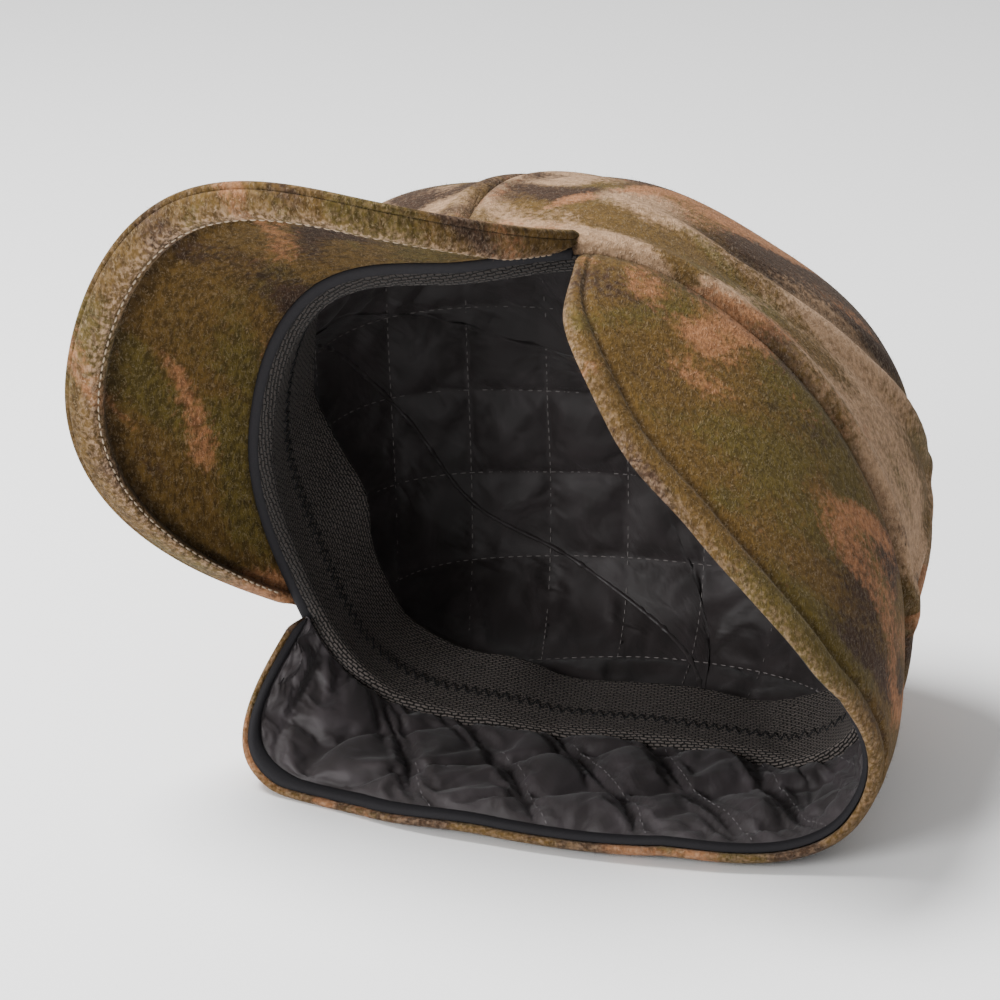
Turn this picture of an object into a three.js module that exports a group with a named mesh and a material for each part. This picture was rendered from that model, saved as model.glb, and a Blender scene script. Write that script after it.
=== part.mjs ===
// A wool hunting cap with a peak and a fold-down ear and neck flap, lying on its side.
// Millimetres. The cap is drawn as worn first: +X the wearer's left, +Y the back of the head, +Z up.
// Then it is laid on its right side on the floor z = 0, with its opening towards -Y.
import * as THREE from 'three';

const { PI, sin, cos, abs, min, max, floor, sign } = Math;
const radians = THREE.MathUtils.degToRad;

// Cloth thicknesses, and the gap left between two layers
const WOOL = 2.5;
const QUILT = 2.8;
const KNIT = 1.6;
const TAPE = 1.4;
const STRIP = 1.8;
const PEAK_CLOTH = 2.1;
const GAP = 0.4;

// The rim of the crown, from the forehead (0 degrees) round by the wearer's left ear (90).
// radius: from the head's axis to the outer wool, height: of the rim, shoulder: how far the wall bulges
const RIM = [
  { at: 0, radius: 103.6, height: 1.7, shoulder: -1.0 },
  { at: 30, radius: 89.0, height: -4.0, shoulder: 0.6 },
  { at: 60, radius: 90.9, height: -1.4, shoulder: -3.3 },
  { at: 90, radius: 89.3, height: -2.1, shoulder: 0.4 },
  { at: 120, radius: 94.1, height: -3.5, shoulder: 10.0 },
  { at: 150, radius: 106.2, height: -3.8, shoulder: 9.5 },
  { at: 180, radius: 118.3, height: -2.0, shoulder: 5.0 },
  { at: 210, radius: 99.5, height: 4.5, shoulder: 8.0 },
  { at: 240, radius: 91.3, height: 6.2, shoulder: 9.0 },
  { at: 270, radius: 100.1, height: 2.3, shoulder: 6.0 },
  { at: 300, radius: 96.5, height: 1.2, shoulder: 3.2 },
  { at: 330, radius: 100.5, height: -0.4, shoulder: 1.8 },
];

// The crown above the rim: its height, how square its shoulder is, and where its top sits over the rim
const CROWN = { height: 105.7, squareness: 0.557, topX: -4.7, topY: -3.4 };

// The seam between a side panel and the centre panel, in degrees round the rim and up the crown
const SEAM = { front: 27, back: 152, rise: 60.5, power: 2.374 };

// The peak, between its corners on the rim: length, outline powers, fan and droop of its ribs (radians)
const PEAK = { left: 52, right: 67.5, length: 69.6, cornerPower: 4.79, sidePower: 0.843 };
const FAN = { middle: 0.19, side: 0.432 };
const DROOP = { middle: 0.71, tilt: 0.143, side: 0.271 };
// The underside of the peak, by distance from its outer edge: a rolled border, a valley, then flat
const ROLL = [
  { from: 0, swell: 0 },
  { from: 2.5, swell: 1.3 },
  { from: 6, swell: 1.3 },
  { from: 10, swell: -0.2 },
  { from: 14, swell: -0.9 },
  { from: 22, swell: 0 },
];

// The free edge of the flap, from the left peak corner (along 0) round the back to the right (along 1).
// out: away from the head, down: below the rim, turn: along the rim, clockwise seen from below
const HEM = [
  { along: 0, out: 0, down: 0, turn: 0 },
  { along: 0.05, out: -7.2, down: 33.6, turn: -14.0 },
  { along: 0.12, out: -22.2, down: 56.4, turn: -10.9 },
  { along: 0.22, out: -24.9, down: 68.8, turn: -5.4 },
  { along: 0.36, out: -12.9, down: 74.9, turn: -6.0 },
  { along: 0.5, out: -3.0, down: 56.1, turn: -17.8 },
  { along: 0.64, out: -18.1, down: 71.4, turn: -10.6 },
  { along: 0.78, out: -13.8, down: 70.8, turn: -4.8 },
  { along: 0.88, out: -0.8, down: 57.6, turn: -2.5 },
  { along: 0.95, out: 22.3, down: 35.2, turn: 0.7 },
  { along: 1, out: 0, down: 0, turn: 0 },
];
const FLAP_BOW = 4;
const BINDING_WIDTH = 5.5;
const WOOL_EDGE = 1.2;

// How the cap lies: its turn from worn to resting, and how far it is lifted and moved
const LIE = new THREE.Euler(radians(-81.24), radians(11.34), radians(-50.19), 'XYZ');
const MOVE = new THREE.Vector3(17.55, -10.45, 88.5);
const FLOOR_SOFTNESS = 1.2;

// Stations round the rim, in degrees: close together where a side panel's seam leaves the rim
const HALF_TURN = [
  0, 10, 20, 27, 27.4, 28.5, 32, 40, 50, 60, 70, 80, 90, 100, 110, 120, 130, 140, 147, 150.5, 151.6, 152,
  160, 170, 180,
];
const STATIONS = [...HALF_TURN, ...HALF_TURN.slice(1, -1).reverse().map((angle) => 360 - angle)];
// Rows up the crown, as a share of the climb from its rim to the middle of its top; the sweatband ends at one
const CLIMBS = [0, 0.09, 0.18, 0.27, 0.4, 0.52, 0.63, 0.73, 0.81, 0.88, 0.94, 0.98, 1];
const SWEATBAND_ROWS = 4;

// A smooth value from a closed table with evenly spaced rows
function around(table, column, degrees) {
  const place = (((degrees % 360) + 360) % 360) / (360 / table.length);
  const row = floor(place);
  const f = place - row;
  const value = (step) => table[(row + step + table.length) % table.length][column];
  const [a, b, c, d] = [value(-1), value(0), value(1), value(2)];
  return b + 0.5 * f * (c - a + f * (2 * a - 5 * b + 4 * c - d + f * (3 * (b - c) + d - a)));
}

// A smooth value from an open table whose first column names the place of each row
function along(table, placeColumn, column, place) {
  const at = (row) => table[row][placeColumn];
  const value = (row) => table[row][column];
  const last = table.length - 1;
  const slope = (row) => {
    if (row === 0) return (value(1) - value(0)) / (at(1) - at(0));
    if (row === last) return (value(last) - value(last - 1)) / (at(last) - at(last - 1));
    const before = at(row) - at(row - 1);
    const after = at(row + 1) - at(row);
    const rise = (value(row + 1) - value(row)) / after;
    const run = (value(row) - value(row - 1)) / before;
    return (rise * before + run * after) / (before + after);
  };
  if (place >= at(last)) return value(last);
  let row = 0;
  while (row < last - 1 && place >= at(row + 1)) row += 1;
  const step = at(row + 1) - at(row);
  const f = (place - at(row)) / step;
  const start = (2 * f ** 3 - 3 * f ** 2 + 1) * value(row) + (f ** 3 - 2 * f ** 2 + f) * step * slope(row);
  const end = (3 * f ** 2 - 2 * f ** 3) * value(row + 1) + (f ** 3 - f ** 2) * step * slope(row + 1);
  return start + end;
}

// A point of the rim as worn
function rimPoint(degrees) {
  const radius = around(RIM, 'radius', degrees);
  const angle = radians(degrees);
  return new THREE.Vector3(radius * sin(angle), -radius * cos(angle), around(RIM, 'height', degrees));
}

// The level directions along the rim and away from the head at one place
function rimDirections(degrees) {
  const run = rimPoint(degrees + 0.06).sub(rimPoint(degrees - 0.06)).setZ(0).normalize();
  return { run, out: new THREE.Vector3(run.y, -run.x, 0) };
}

// A point of the crown's outer face as worn: climb goes from 0 at the rim to 1 at the middle of the top
function crownPoint(degrees, climb) {
  const up = (PI / 2) * climb ** (1 / CROWN.squareness);
  const in_ = cos(up) ** CROWN.squareness;
  const rise = sin(up) ** CROWN.squareness;
  const bulge = around(RIM, 'shoulder', degrees) * sin(2 * up);
  const angle = radians(degrees);
  return rimPoint(degrees)
    .multiplyScalar(in_)
    .add(new THREE.Vector3(CROWN.topX, CROWN.topY, CROWN.height).multiplyScalar(rise))
    .add(new THREE.Vector3(sin(angle), -cos(angle), 0).multiplyScalar(bulge));
}

// How far up the crown its side seam is at one place round the rim
function seamClimb(degrees) {
  const turn = abs(degrees > 180 ? degrees - 360 : degrees);
  const reach = (SEAM.back - SEAM.front) / 2;
  const off = abs(turn - (SEAM.front + SEAM.back) / 2) / reach;
  if (off >= 1) return 0;
  return ((SEAM.rise / 90) * (1 - off ** SEAM.power) ** (1 / SEAM.power)) ** CROWN.squareness;
}

// How far round the rim a place along the flap is, in degrees
function flapDegrees(place) {
  return PEAK.left + (360 - PEAK.right - PEAK.left) * place;
}

// The width of the flap and its direction down from the rim at one place along it
function flapRib(place) {
  const { run, out } = rimDirections(flapDegrees(place));
  const rib = out
    .multiplyScalar(along(HEM, 'along', 'out', place))
    .add(new THREE.Vector3(0, 0, -along(HEM, 'along', 'down', place)))
    .add(run.multiplyScalar(along(HEM, 'along', 'turn', place)));
  return rib;
}

// A point of the flap's outer face as worn: fall goes from 0 at the rim to 1 at the hem
function flapPoint(place, fall) {
  const degrees = flapDegrees(place);
  const bow = FLAP_BOW * sin(PI * min(fall, 1)) * sin(PI * place);
  const { out } = rimDirections(degrees);
  return rimPoint(degrees).add(flapRib(place).multiplyScalar(fall)).add(out.multiplyScalar(bow));
}

// A point of the peak's underside as worn: side goes from -1 at the right corner to 1 at the left one
function peakPoint(side, reach) {
  const degrees = (PEAK.left - PEAK.right) / 2 + (side * (PEAK.left + PEAK.right)) / 2;
  const fan = FAN.middle + FAN.side * side;
  const droop = DROOP.middle + DROOP.tilt * side + DROOP.side * side * side;
  const rib = new THREE.Vector3(sin(fan) * cos(droop), -cos(fan) * cos(droop), -sin(droop));
  return rimPoint(degrees).add(rib.multiplyScalar(reach));
}

function peakLength(side) {
  return PEAK.length * max(1 - abs(side) ** PEAK.cornerPower, 0) ** (1 / PEAK.sidePower);
}

// From worn to resting, with what would sink into the floor pressed flat on it
function lay(point) {
  const p = point.clone().applyEuler(LIE).add(MOVE);
  if (p.z < -FLOOR_SOFTNESS) p.z = 0;
  else if (p.z < FLOOR_SOFTNESS) p.z = (p.z + FLOOR_SOFTNESS) ** 2 / (4 * FLOOR_SOFTNESS);
  return p;
}

// The direction into the cap, square to a resting surface
function inward(surface, a, b, stepA, stepB) {
  const first = surface(a + stepA, b).sub(surface(a - stepA, b));
  const second = surface(a, b + stepB).sub(surface(a, b - stepB));
  return first.cross(second).normalize();
}

const layCrown = (degrees, climb) => lay(crownPoint(degrees, climb));
const layFlap = (place, fall) => lay(flapPoint(place, fall));
const layPeak = (side, reach) => lay(peakPoint(side, reach));

// A point of the crown at a depth below its outer face
function crownLayer(degrees, climb, depth) {
  const up = min(max(climb, 0.002), 0.994);
  const into = inward(layCrown, degrees, up, 0.05, 0.001).negate();
  return layCrown(degrees, climb).addScaledVector(into, depth);
}

// A point of the flap at a depth below its outer face, a distance down from the rim
function flapLayer(place, distance, depth) {
  const into = inward(layFlap, place, min(max(distance / flapRib(place).length(), 0.05), 0.95), 0.001, 0.01);
  return layFlap(place, distance / flapRib(place).length()).addScaledVector(into, depth);
}

// How far down from the rim the flap's cloth starts, so that its edge is cut level under the crown's
function flapStart(place, depth) {
  const rib = flapPoint(place, 0.03).sub(flapPoint(place, 0)).normalize();
  const { run } = rimDirections(flapDegrees(place));
  const into = run.clone().cross(rib).normalize();
  return (GAP + depth * max(into.z, 0)) / max(-rib.z, 0.3);
}

// A point of the peak at a height above its underside; the border's roll goes down from the underside
function peakLayer(side, reach, height, swell) {
  const up = inward(layPeak, side, max(reach, 1), 0.001, 0.5).negate();
  const edge = peakLength(side) - reach;
  const drop = swell * along(ROLL, 'from', 'swell', edge) * min(peakLength(side) / 30, 1);
  return layPeak(side, reach).addScaledVector(up, height - drop);
}

// Where the peak's cloth starts at a height above its underside, so that it butts the crown upright
function peakStart(side, height) {
  const degrees = (PEAK.left - PEAK.right) / 2 + (side * (PEAK.left + PEAK.right)) / 2;
  const { out } = rimDirections(degrees);
  const rib = peakPoint(side, 1).sub(peakPoint(side, 0));
  const next = peakPoint(side + 0.001, 1).sub(peakPoint(side - 0.001, 1)).normalize();
  const up = next.cross(rib).normalize();
  return (0.6 - height * max(sign(up.z) * up.dot(out), 0)) / rib.dot(out);
}

const cap = new THREE.Group();
cap.name = 'hunting_cap';

// One closed solid between two grids of points, grid[column][row]
function addSolid(name, colour, roughness, upper, lower, { closed = false, pole = false } = {}) {
  const columns = upper.length;
  const rows = upper[0].length;
  const positions = [];
  const index = [];
  const known = new Map();
  const corners = (grid) => (column, row) => {
    const p = grid[pole && row === rows - 1 ? 0 : column % columns][row];
    const key = p.toArray().map((value) => value.toFixed(3)).join();
    if (!known.has(key)) {
      known.set(key, positions.length / 3);
      positions.push(p.x, p.y, p.z);
    }
    return known.get(key);
  };
  const top = corners(upper);
  const bottom = corners(lower);
  const face = (a, b, c) => {
    if (a !== b && b !== c && a !== c) index.push(a, b, c);
  };
  const quad = (a, b, c, d) => {
    face(a, b, c);
    face(a, c, d);
  };
  const spans = closed ? columns : columns - 1;
  for (let c = 0; c < spans; c += 1) {
    for (let r = 0; r < rows - 1; r += 1) {
      quad(top(c, r), top(c + 1, r), top(c + 1, r + 1), top(c, r + 1));
      quad(bottom(c, r), bottom(c, r + 1), bottom(c + 1, r + 1), bottom(c + 1, r));
    }
    quad(top(c, 0), bottom(c, 0), bottom(c + 1, 0), top(c + 1, 0));
    if (!pole) quad(top(c, rows - 1), top(c + 1, rows - 1), bottom(c + 1, rows - 1), bottom(c, rows - 1));
  }
  if (!closed) {
    const end = columns - 1;
    for (let r = 0; r < rows - 1; r += 1) {
      quad(top(0, r), top(0, r + 1), bottom(0, r + 1), bottom(0, r));
      quad(top(end, r), bottom(end, r), bottom(end, r + 1), top(end, r + 1));
    }
  }
  let volume = 0;
  const corner = (i) => new THREE.Vector3().fromArray(positions, 3 * index[i]);
  for (let i = 0; i < index.length; i += 3) volume += corner(i).dot(corner(i + 1).cross(corner(i + 2)));
  if (volume < 0) index.reverse();
  const geometry = new THREE.BufferGeometry();
  geometry.setAttribute('position', new THREE.Float32BufferAttribute(positions, 3));
  geometry.setIndex(index);
  geometry.computeVertexNormals();
  const material = new THREE.MeshStandardMaterial({ color: colour, roughness, metalness: 0 });
  const mesh = new THREE.Mesh(geometry, material);
  mesh.name = name;
  cap.add(mesh);
}

// A layer of the crown between two depths: for each column its place round the rim and its row heights
function addCrownLayer(name, colour, outer, depth, columns, rowsOf, shape) {
  const grid = (d) => columns.map((degrees) => rowsOf(degrees).map((climb) => crownLayer(degrees, climb, d)));
  addSolid(name, colour, 0.9, grid(outer), grid(outer + depth), shape);
}

// Numbers spread evenly over a span
const spread = (from, to, count) => Array.from({ length: count }, (_, i) => from + ((to - from) * i) / (count - 1));

const RIM_CLEARANCE = 0.0012;
const SEAM_CLEARANCE = 0.0032;

const leftColumns = HALF_TURN.filter((angle) => angle > SEAM.front && angle < SEAM.back);
const rightColumns = leftColumns.map((angle) => 360 - angle);

// The rows of a side panel end at the seam, and those of the centre panel start there
function sideRows(degrees) {
  const top = seamClimb(degrees) - SEAM_CLEARANCE;
  return CLIMBS.map((climb) => min(max(climb, RIM_CLEARANCE), top));
}

function centreRows(degrees) {
  const seam = seamClimb(degrees);
  const start = seam > 0 ? seam + SEAM_CLEARANCE : RIM_CLEARANCE;
  return CLIMBS.map((climb) => max(climb, start));
}

// Crown and lining, each of a centre strip and two side panels
const LAYERS = [
  { part: 'crown', colour: 0x6e6148, outer: 0, depth: WOOL },
  { part: 'lining', colour: 0x2c2b2f, outer: WOOL + GAP, depth: QUILT },
];
for (const { part, colour, outer, depth } of LAYERS) {
  const whole = { closed: true, pole: true };
  addCrownLayer(`${part}_centre_panel`, colour, outer, depth, STATIONS, centreRows, whole);
  addCrownLayer(`${part}_left_panel`, colour, outer, depth, leftColumns, sideRows);
  addCrownLayer(`${part}_right_panel`, colour, outer, depth, rightColumns, sideRows);
}

// Sweatband inside the lining, from the rim up
const bandRows = () => CLIMBS.slice(0, SWEATBAND_ROWS).map((climb) => max(climb, RIM_CLEARANCE * 3));
const bandDepth = WOOL + QUILT + 2.5 * GAP;
addCrownLayer('sweatband', 0x2a282c, bandDepth, KNIT, STATIONS, bandRows, { closed: true });

// Tape under the crown's edge, from corner to corner of the peak
const frontStations = spread(-PEAK.right + 1, PEAK.left - 1, 21);
const tapeGrid = (below) =>
  frontStations.map((degrees) =>
    [0.3, 7.4].map((inset) => {
      const { out } = rimDirections(degrees);
      return lay(rimPoint(degrees).addScaledVector(out, -inset).add(new THREE.Vector3(0, 0, -below)));
    }),
  );
addSolid('front_binding', 0x171619, 0.8, tapeGrid(0.2), tapeGrid(0.2 + TAPE));

// Peak: an upper and a lower cloth
const peakSides = [-0.985, -0.95, -0.9, -0.82, ...spread(-0.72, 0.72, 15), 0.82, 0.9, 0.95, 0.985];
const PEAK_ROWS = [0, 0.25, 0.5, 0.66, 0.78, 0.86, 0.92, 0.965, 1];
function peakGrid(height, swell) {
  return peakSides.map((side) => {
    const start = peakStart(side, height);
    return PEAK_ROWS.map((share) => {
      const reach = start + (peakLength(side) - start) * share;
      return peakLayer(side, reach, height, swell);
    });
  });
}
addSolid('peak_under_cloth', 0x6e6148, 0.9, peakGrid(0, 1), peakGrid(PEAK_CLOTH, 0));
addSolid('peak_top_cloth', 0x6e6148, 0.9, peakGrid(PEAK_CLOTH + GAP, 0), peakGrid(2 * PEAK_CLOTH + GAP, 0));

// Flap: wool outside, quilted lining inside, and a strip that binds the lining's free edge
const flapStations = [
  ...[0.012, 0.03, 0.05, 0.08, 0.115],
  ...spread(0.15, 0.84, 23),
  ...[0.862, 0.88, 0.898, 0.916, 0.934, 0.95, 0.967, 0.988],
];
const FLAP_ROWS = spread(0, 1, 7);
// A grid at one depth of the flap, between two distances from the rim that depend on its width and its start
function flapGrid(depth, span, rows = FLAP_ROWS) {
  return flapStations.map((place) => {
    const [from, to] = span(flapRib(place).length(), flapStart(place, depth));
    return rows.map((share) => flapLayer(place, from + (to - from) * share, depth));
  });
}
const stripWidth = WOOL_EDGE + BINDING_WIDTH;
const shellSpan = (width, start) => [start, width];
const liningSpan = (width, start) => [start, max(width - stripWidth - GAP, start + 0.8)];
const stripSpan = (width, start) => [max(width - stripWidth, start + 0.8 + GAP), width - WOOL_EDGE];
const inner = WOOL + GAP;
addSolid('flap_shell', 0x6e6148, 0.9, flapGrid(0, shellSpan), flapGrid(WOOL, shellSpan));
addSolid('flap_lining', 0x2c2b2f, 0.7, flapGrid(inner, liningSpan), flapGrid(inner + QUILT, liningSpan));
const stripRows = [0, 0.5, 1];
const strip = (depth) => flapGrid(depth, stripSpan, stripRows);
addSolid('flap_binding', 0x171619, 0.6, strip(inner), strip(inner + STRIP));

export default cap;
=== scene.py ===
# %% [markdown]
# A hunting cap of felted wool, lying on its side. It has a peak at the front, a fold-down flap round the
# ears and the nape, a quilted lining and a knitted sweatband. The first step loads the plain solids that
# hold the sizes, so that every piece made here can be put exactly where its solid is.

import math

import bpy
import bmesh
import numpy as np
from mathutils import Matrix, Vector


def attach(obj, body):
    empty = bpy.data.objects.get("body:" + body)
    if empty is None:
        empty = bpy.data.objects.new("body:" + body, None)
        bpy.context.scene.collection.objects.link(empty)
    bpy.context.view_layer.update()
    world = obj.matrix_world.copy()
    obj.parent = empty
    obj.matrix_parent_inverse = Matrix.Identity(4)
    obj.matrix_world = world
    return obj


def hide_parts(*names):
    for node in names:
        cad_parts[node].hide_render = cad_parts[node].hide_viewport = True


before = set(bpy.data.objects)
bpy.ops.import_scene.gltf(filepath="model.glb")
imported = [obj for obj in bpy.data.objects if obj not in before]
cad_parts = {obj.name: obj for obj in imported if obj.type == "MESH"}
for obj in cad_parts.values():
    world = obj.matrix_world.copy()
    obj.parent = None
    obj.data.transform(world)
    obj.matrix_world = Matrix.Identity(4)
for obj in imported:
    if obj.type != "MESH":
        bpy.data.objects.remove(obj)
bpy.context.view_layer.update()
print("plain solids:", len(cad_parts))

# %% [markdown]
# The cap is drawn as worn first, in millimetres: +X is the wearer's left, +Y the back of the head and +Z
# up. One table gives the rim and another the free edge of the flap. A smooth curve runs through each, so
# a few measured rows are enough for the whole shape.

# %% Sizes and tables of the cap
METRE = 0.001
RIM_RADIUS = np.array([103.6, 89.0, 90.9, 89.3, 94.1, 106.2, 118.3, 99.5, 91.3, 100.1, 96.5, 100.5])
RIM_HEIGHT = np.array([1.7, -4.0, -1.4, -2.1, -3.5, -3.8, -2.0, 4.5, 6.2, 2.3, 1.2, -0.4])
SHOULDER = np.array([-1.0, 0.6, -3.3, 0.4, 10.0, 9.5, 5.0, 8.0, 9.0, 6.0, 3.2, 1.8])
CROWN_HEIGHT = 105.7
SQUARENESS = 0.557
TOP_OVER_RIM = np.array([-4.7, -3.4])
SEAM_FRONT, SEAM_BACK, SEAM_RISE, SEAM_POWER = 27.0, 152.0, 60.5, 2.374
SEAM_MIDDLE, SEAM_HALF = (SEAM_FRONT + SEAM_BACK) / 2, (SEAM_BACK - SEAM_FRONT) / 2
PEAK_LEFT, PEAK_RIGHT, PEAK_LENGTH = 52.0, 67.5, 69.6
CORNER_POWER, SIDE_POWER = 4.79, 0.843
FAN_MIDDLE, FAN_SIDE = 0.19, 0.432
DROOP_MIDDLE, DROOP_TILT, DROOP_SIDE = 0.71, 0.143, 0.271
HEM_ALONG = np.array([0, 0.05, 0.12, 0.22, 0.36, 0.5, 0.64, 0.78, 0.88, 0.95, 1.0])
HEM_OUT = np.array([0, -7.2, -22.2, -24.9, -12.9, -3.0, -18.1, -13.8, -0.8, 22.3, 0])
HEM_DOWN = np.array([0, 33.6, 56.4, 68.8, 74.9, 56.1, 71.4, 70.8, 57.6, 35.2, 0])
HEM_TURN = np.array([0, -14.0, -10.9, -5.4, -6.0, -17.8, -10.6, -4.8, -2.5, 0.7, 0])
FLAP_BOW = 4.0
WOOL, QUILT, GAP = 2.5, 2.8, 0.4
PEAK_CLOTH = 2.1
KNIT = 1.6
BINDING_WIDTH, WOOL_EDGE = 5.5, 1.2
FLOOR_SOFTNESS = 1.2
LIE_ANGLES = np.radians([-81.24, 11.34, -50.19])
MOVE = np.array([17.55, -10.45, 88.5])


def turn_about(axis, angle):
    c, s = math.cos(angle), math.sin(angle)
    a, b = [(1, 2), (2, 0), (0, 1)][axis]
    m = np.eye(3)
    m[a, a], m[b, b], m[a, b], m[b, a] = c, c, -s, s
    return m


LIE = turn_about(0, LIE_ANGLES[0]) @ turn_about(1, LIE_ANGLES[1]) @ turn_about(2, LIE_ANGLES[2])
print("rim stations:", len(RIM_RADIUS), "hem stations:", len(HEM_ALONG))

# %% [markdown]
# Each cloth of the cap is a surface with two parameters. The crown's are degrees round the rim and the
# climb from the rim to the middle of the top. The flap's are the place along it and the fall from rim to
# hem. The peak's are its side and its reach. A last step lays the worn cap on its side and presses flat
# on the floor what would sink into it.

# %% Surfaces of the cap


def around(values, degrees):
    place = np.mod(degrees, 360) / (360 / len(values))
    row = np.floor(place).astype(int)
    f = place - row
    a, b, c, d = (values[(row + step) % len(values)] for step in (-1, 0, 1, 2))
    return b + 0.5 * f * (c - a + f * (2 * a - 5 * b + 4 * c - d + f * (3 * (b - c) + d - a)))


def along(places, values, place):
    slopes = np.gradient(values, places)
    row = np.clip(np.searchsorted(places, place, side="right") - 1, 0, len(places) - 2)
    step = places[row + 1] - places[row]
    f = (place - places[row]) / step
    start = (2 * f**3 - 3 * f**2 + 1) * values[row] + (f**3 - 2 * f**2 + f) * step * slopes[row]
    end = (3 * f**2 - 2 * f**3) * values[row + 1] + (f**3 - f**2) * step * slopes[row + 1]
    return start + end


def unit(vectors):
    return vectors / np.maximum(np.linalg.norm(vectors, axis=-1, keepdims=True), 1e-9)


def level(degrees):
    angle = np.radians(degrees)
    return np.stack([np.sin(angle), -np.cos(angle), np.zeros_like(angle)], -1)


def rim_point(degrees):
    point = around(RIM_RADIUS, degrees)[..., None] * level(degrees)
    point[..., 2] = around(RIM_HEIGHT, degrees)
    return point


def rim_directions(degrees):
    run = rim_point(degrees + 0.06) - rim_point(degrees - 0.06)
    run[..., 2] = 0
    run = unit(run)
    out = np.stack([run[..., 1], -run[..., 0], np.zeros(run.shape[:-1])], -1)
    return run, out


def crown_point(degrees, climb):
    up = (np.pi / 2) * np.clip(climb, 0, 1) ** (1 / SQUARENESS)
    inward = np.maximum(np.cos(up), 0) ** SQUARENESS
    rise = np.sin(up) ** SQUARENESS
    top = np.array([TOP_OVER_RIM[0], TOP_OVER_RIM[1], CROWN_HEIGHT])
    bulge = level(degrees) * (around(SHOULDER, degrees) * np.sin(2 * up))[..., None]
    return rim_point(degrees) * inward[..., None] + top * rise[..., None] + bulge


def seam_climb(degrees):
    turn = np.abs(np.where(degrees > 180, degrees - 360, degrees))
    off = np.abs(turn - SEAM_MIDDLE) / SEAM_HALF
    rise = np.maximum(1 - np.minimum(off, 1) ** SEAM_POWER, 0) ** (1 / SEAM_POWER)
    return ((SEAM_RISE / 90) * rise) ** SQUARENESS


def flap_degrees(place):
    return PEAK_LEFT + (360 - PEAK_RIGHT - PEAK_LEFT) * place


def flap_rib(place):
    run, out = rim_directions(flap_degrees(place))
    outwards = out * along(HEM_ALONG, HEM_OUT, place)[..., None]
    rib = outwards + run * along(HEM_ALONG, HEM_TURN, place)[..., None]
    rib[..., 2] -= along(HEM_ALONG, HEM_DOWN, place)
    return rib


def flap_point(place, fall):
    _, out = rim_directions(flap_degrees(place))
    bow = FLAP_BOW * np.sin(np.pi * np.minimum(fall, 1)) * np.sin(np.pi * place)
    return rim_point(flap_degrees(place)) + flap_rib(place) * fall[..., None] + out * bow[..., None]


def peak_degrees(side):
    return (PEAK_LEFT - PEAK_RIGHT) / 2 + side * (PEAK_LEFT + PEAK_RIGHT) / 2


def peak_point(side, reach):
    fan = FAN_MIDDLE + FAN_SIDE * side
    droop = DROOP_MIDDLE + DROOP_TILT * side + DROOP_SIDE * side**2
    rib = np.stack([np.sin(fan) * np.cos(droop), -np.cos(fan) * np.cos(droop), -np.sin(droop)], -1)
    return rim_point(peak_degrees(side)) + rib * reach[..., None]


def peak_length(side):
    return PEAK_LENGTH * np.maximum(1 - np.abs(side) ** CORNER_POWER, 0) ** (1 / SIDE_POWER)


def lay(points):
    laid = points @ LIE.T + MOVE
    z = laid[..., 2]
    soft = (z + FLOOR_SOFTNESS) ** 2 / (4 * FLOOR_SOFTNESS)
    laid[..., 2] = np.where(z < -FLOOR_SOFTNESS, 0, np.where(z < FLOOR_SOFTNESS, soft, z))
    return laid


def above_floor(points):
    points[..., 2] = np.maximum(points[..., 2], 0.1)
    return points


def square_to(surface, a, b, step_a, step_b):
    first = lay(surface(a + step_a, b)) - lay(surface(a - step_a, b))
    second = lay(surface(a, b + step_b)) - lay(surface(a, b - step_b))
    return unit(np.cross(first, second))


def crown_layer(degrees, climb, depth):
    into = -square_to(crown_point, degrees, np.clip(climb, 0.002, 0.994), 0.05, 0.001)
    return above_floor(lay(crown_point(degrees, climb)) + into * depth[..., None])


def flap_layer(place, distance, depth):
    fall = distance / np.linalg.norm(flap_rib(place), axis=-1)
    into = square_to(flap_point, place, np.clip(fall, 0.05, 0.95), 0.001, 0.01)
    return above_floor(lay(flap_point(place, fall)) + into * depth[..., None])


def peak_layer(side, reach, height):
    up = -square_to(peak_point, side, np.maximum(reach, 1.0), 0.001, 0.5)
    return above_floor(lay(peak_point(side, reach)) + up * height[..., None])


def flap_start(place, depth):
    rib = unit(flap_point(place, np.full_like(place, 0.03)) - flap_point(place, np.zeros_like(place)))
    run, _ = rim_directions(flap_degrees(place))
    into = unit(np.cross(run, rib))
    return (GAP + depth * np.maximum(into[..., 2], 0)) / np.maximum(-rib[..., 2], 0.3)


def peak_start(side, height):
    _, out = rim_directions(peak_degrees(side))
    one = np.ones_like(side)
    rib = peak_point(side, one) - peak_point(side, 0 * one)
    along_edge = unit(peak_point(side + 0.001, one) - peak_point(side - 0.001, one))
    up = unit(np.cross(along_edge, rib))
    up = up * np.sign(up[..., 2:3])
    lean = np.maximum(np.sum(up * out, -1), 0)
    return (0.6 - height * lean) / np.sum(rib * out, -1)


def distance_to(points, path):
    flat = points.reshape(-1, 3)
    nearest = np.full(len(flat), 1e9)
    for spot in path:
        nearest = np.minimum(nearest, np.sum((flat - spot) ** 2, -1))
    return np.sqrt(nearest).reshape(points.shape[:-1])


def hump(distance, width):
    return np.exp(-((distance / width) ** 2))


def ridge(distance, height, place, width):
    return height * hump(distance - place, width)


print("crown top as worn, mm:", crown_point(np.array(0.0), np.array(1.0)).round(1))

# %% [markdown]
# Every cloth is one closed skin between a front grid and a back grid. Its cut edge is rounded, because
# felted wool and padded nylon have no sharp edges. One helper builds them all and gives each its own UV
# map in centimetres of cloth, for the patterns that follow the cloth. It can also give each point two
# marks that its material reads: one that lightens crests, partly wear and partly painted highlight, and
# one for painted shade.

# %% Helper that turns two grids into a closed cloth
BODY = "root"


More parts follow.
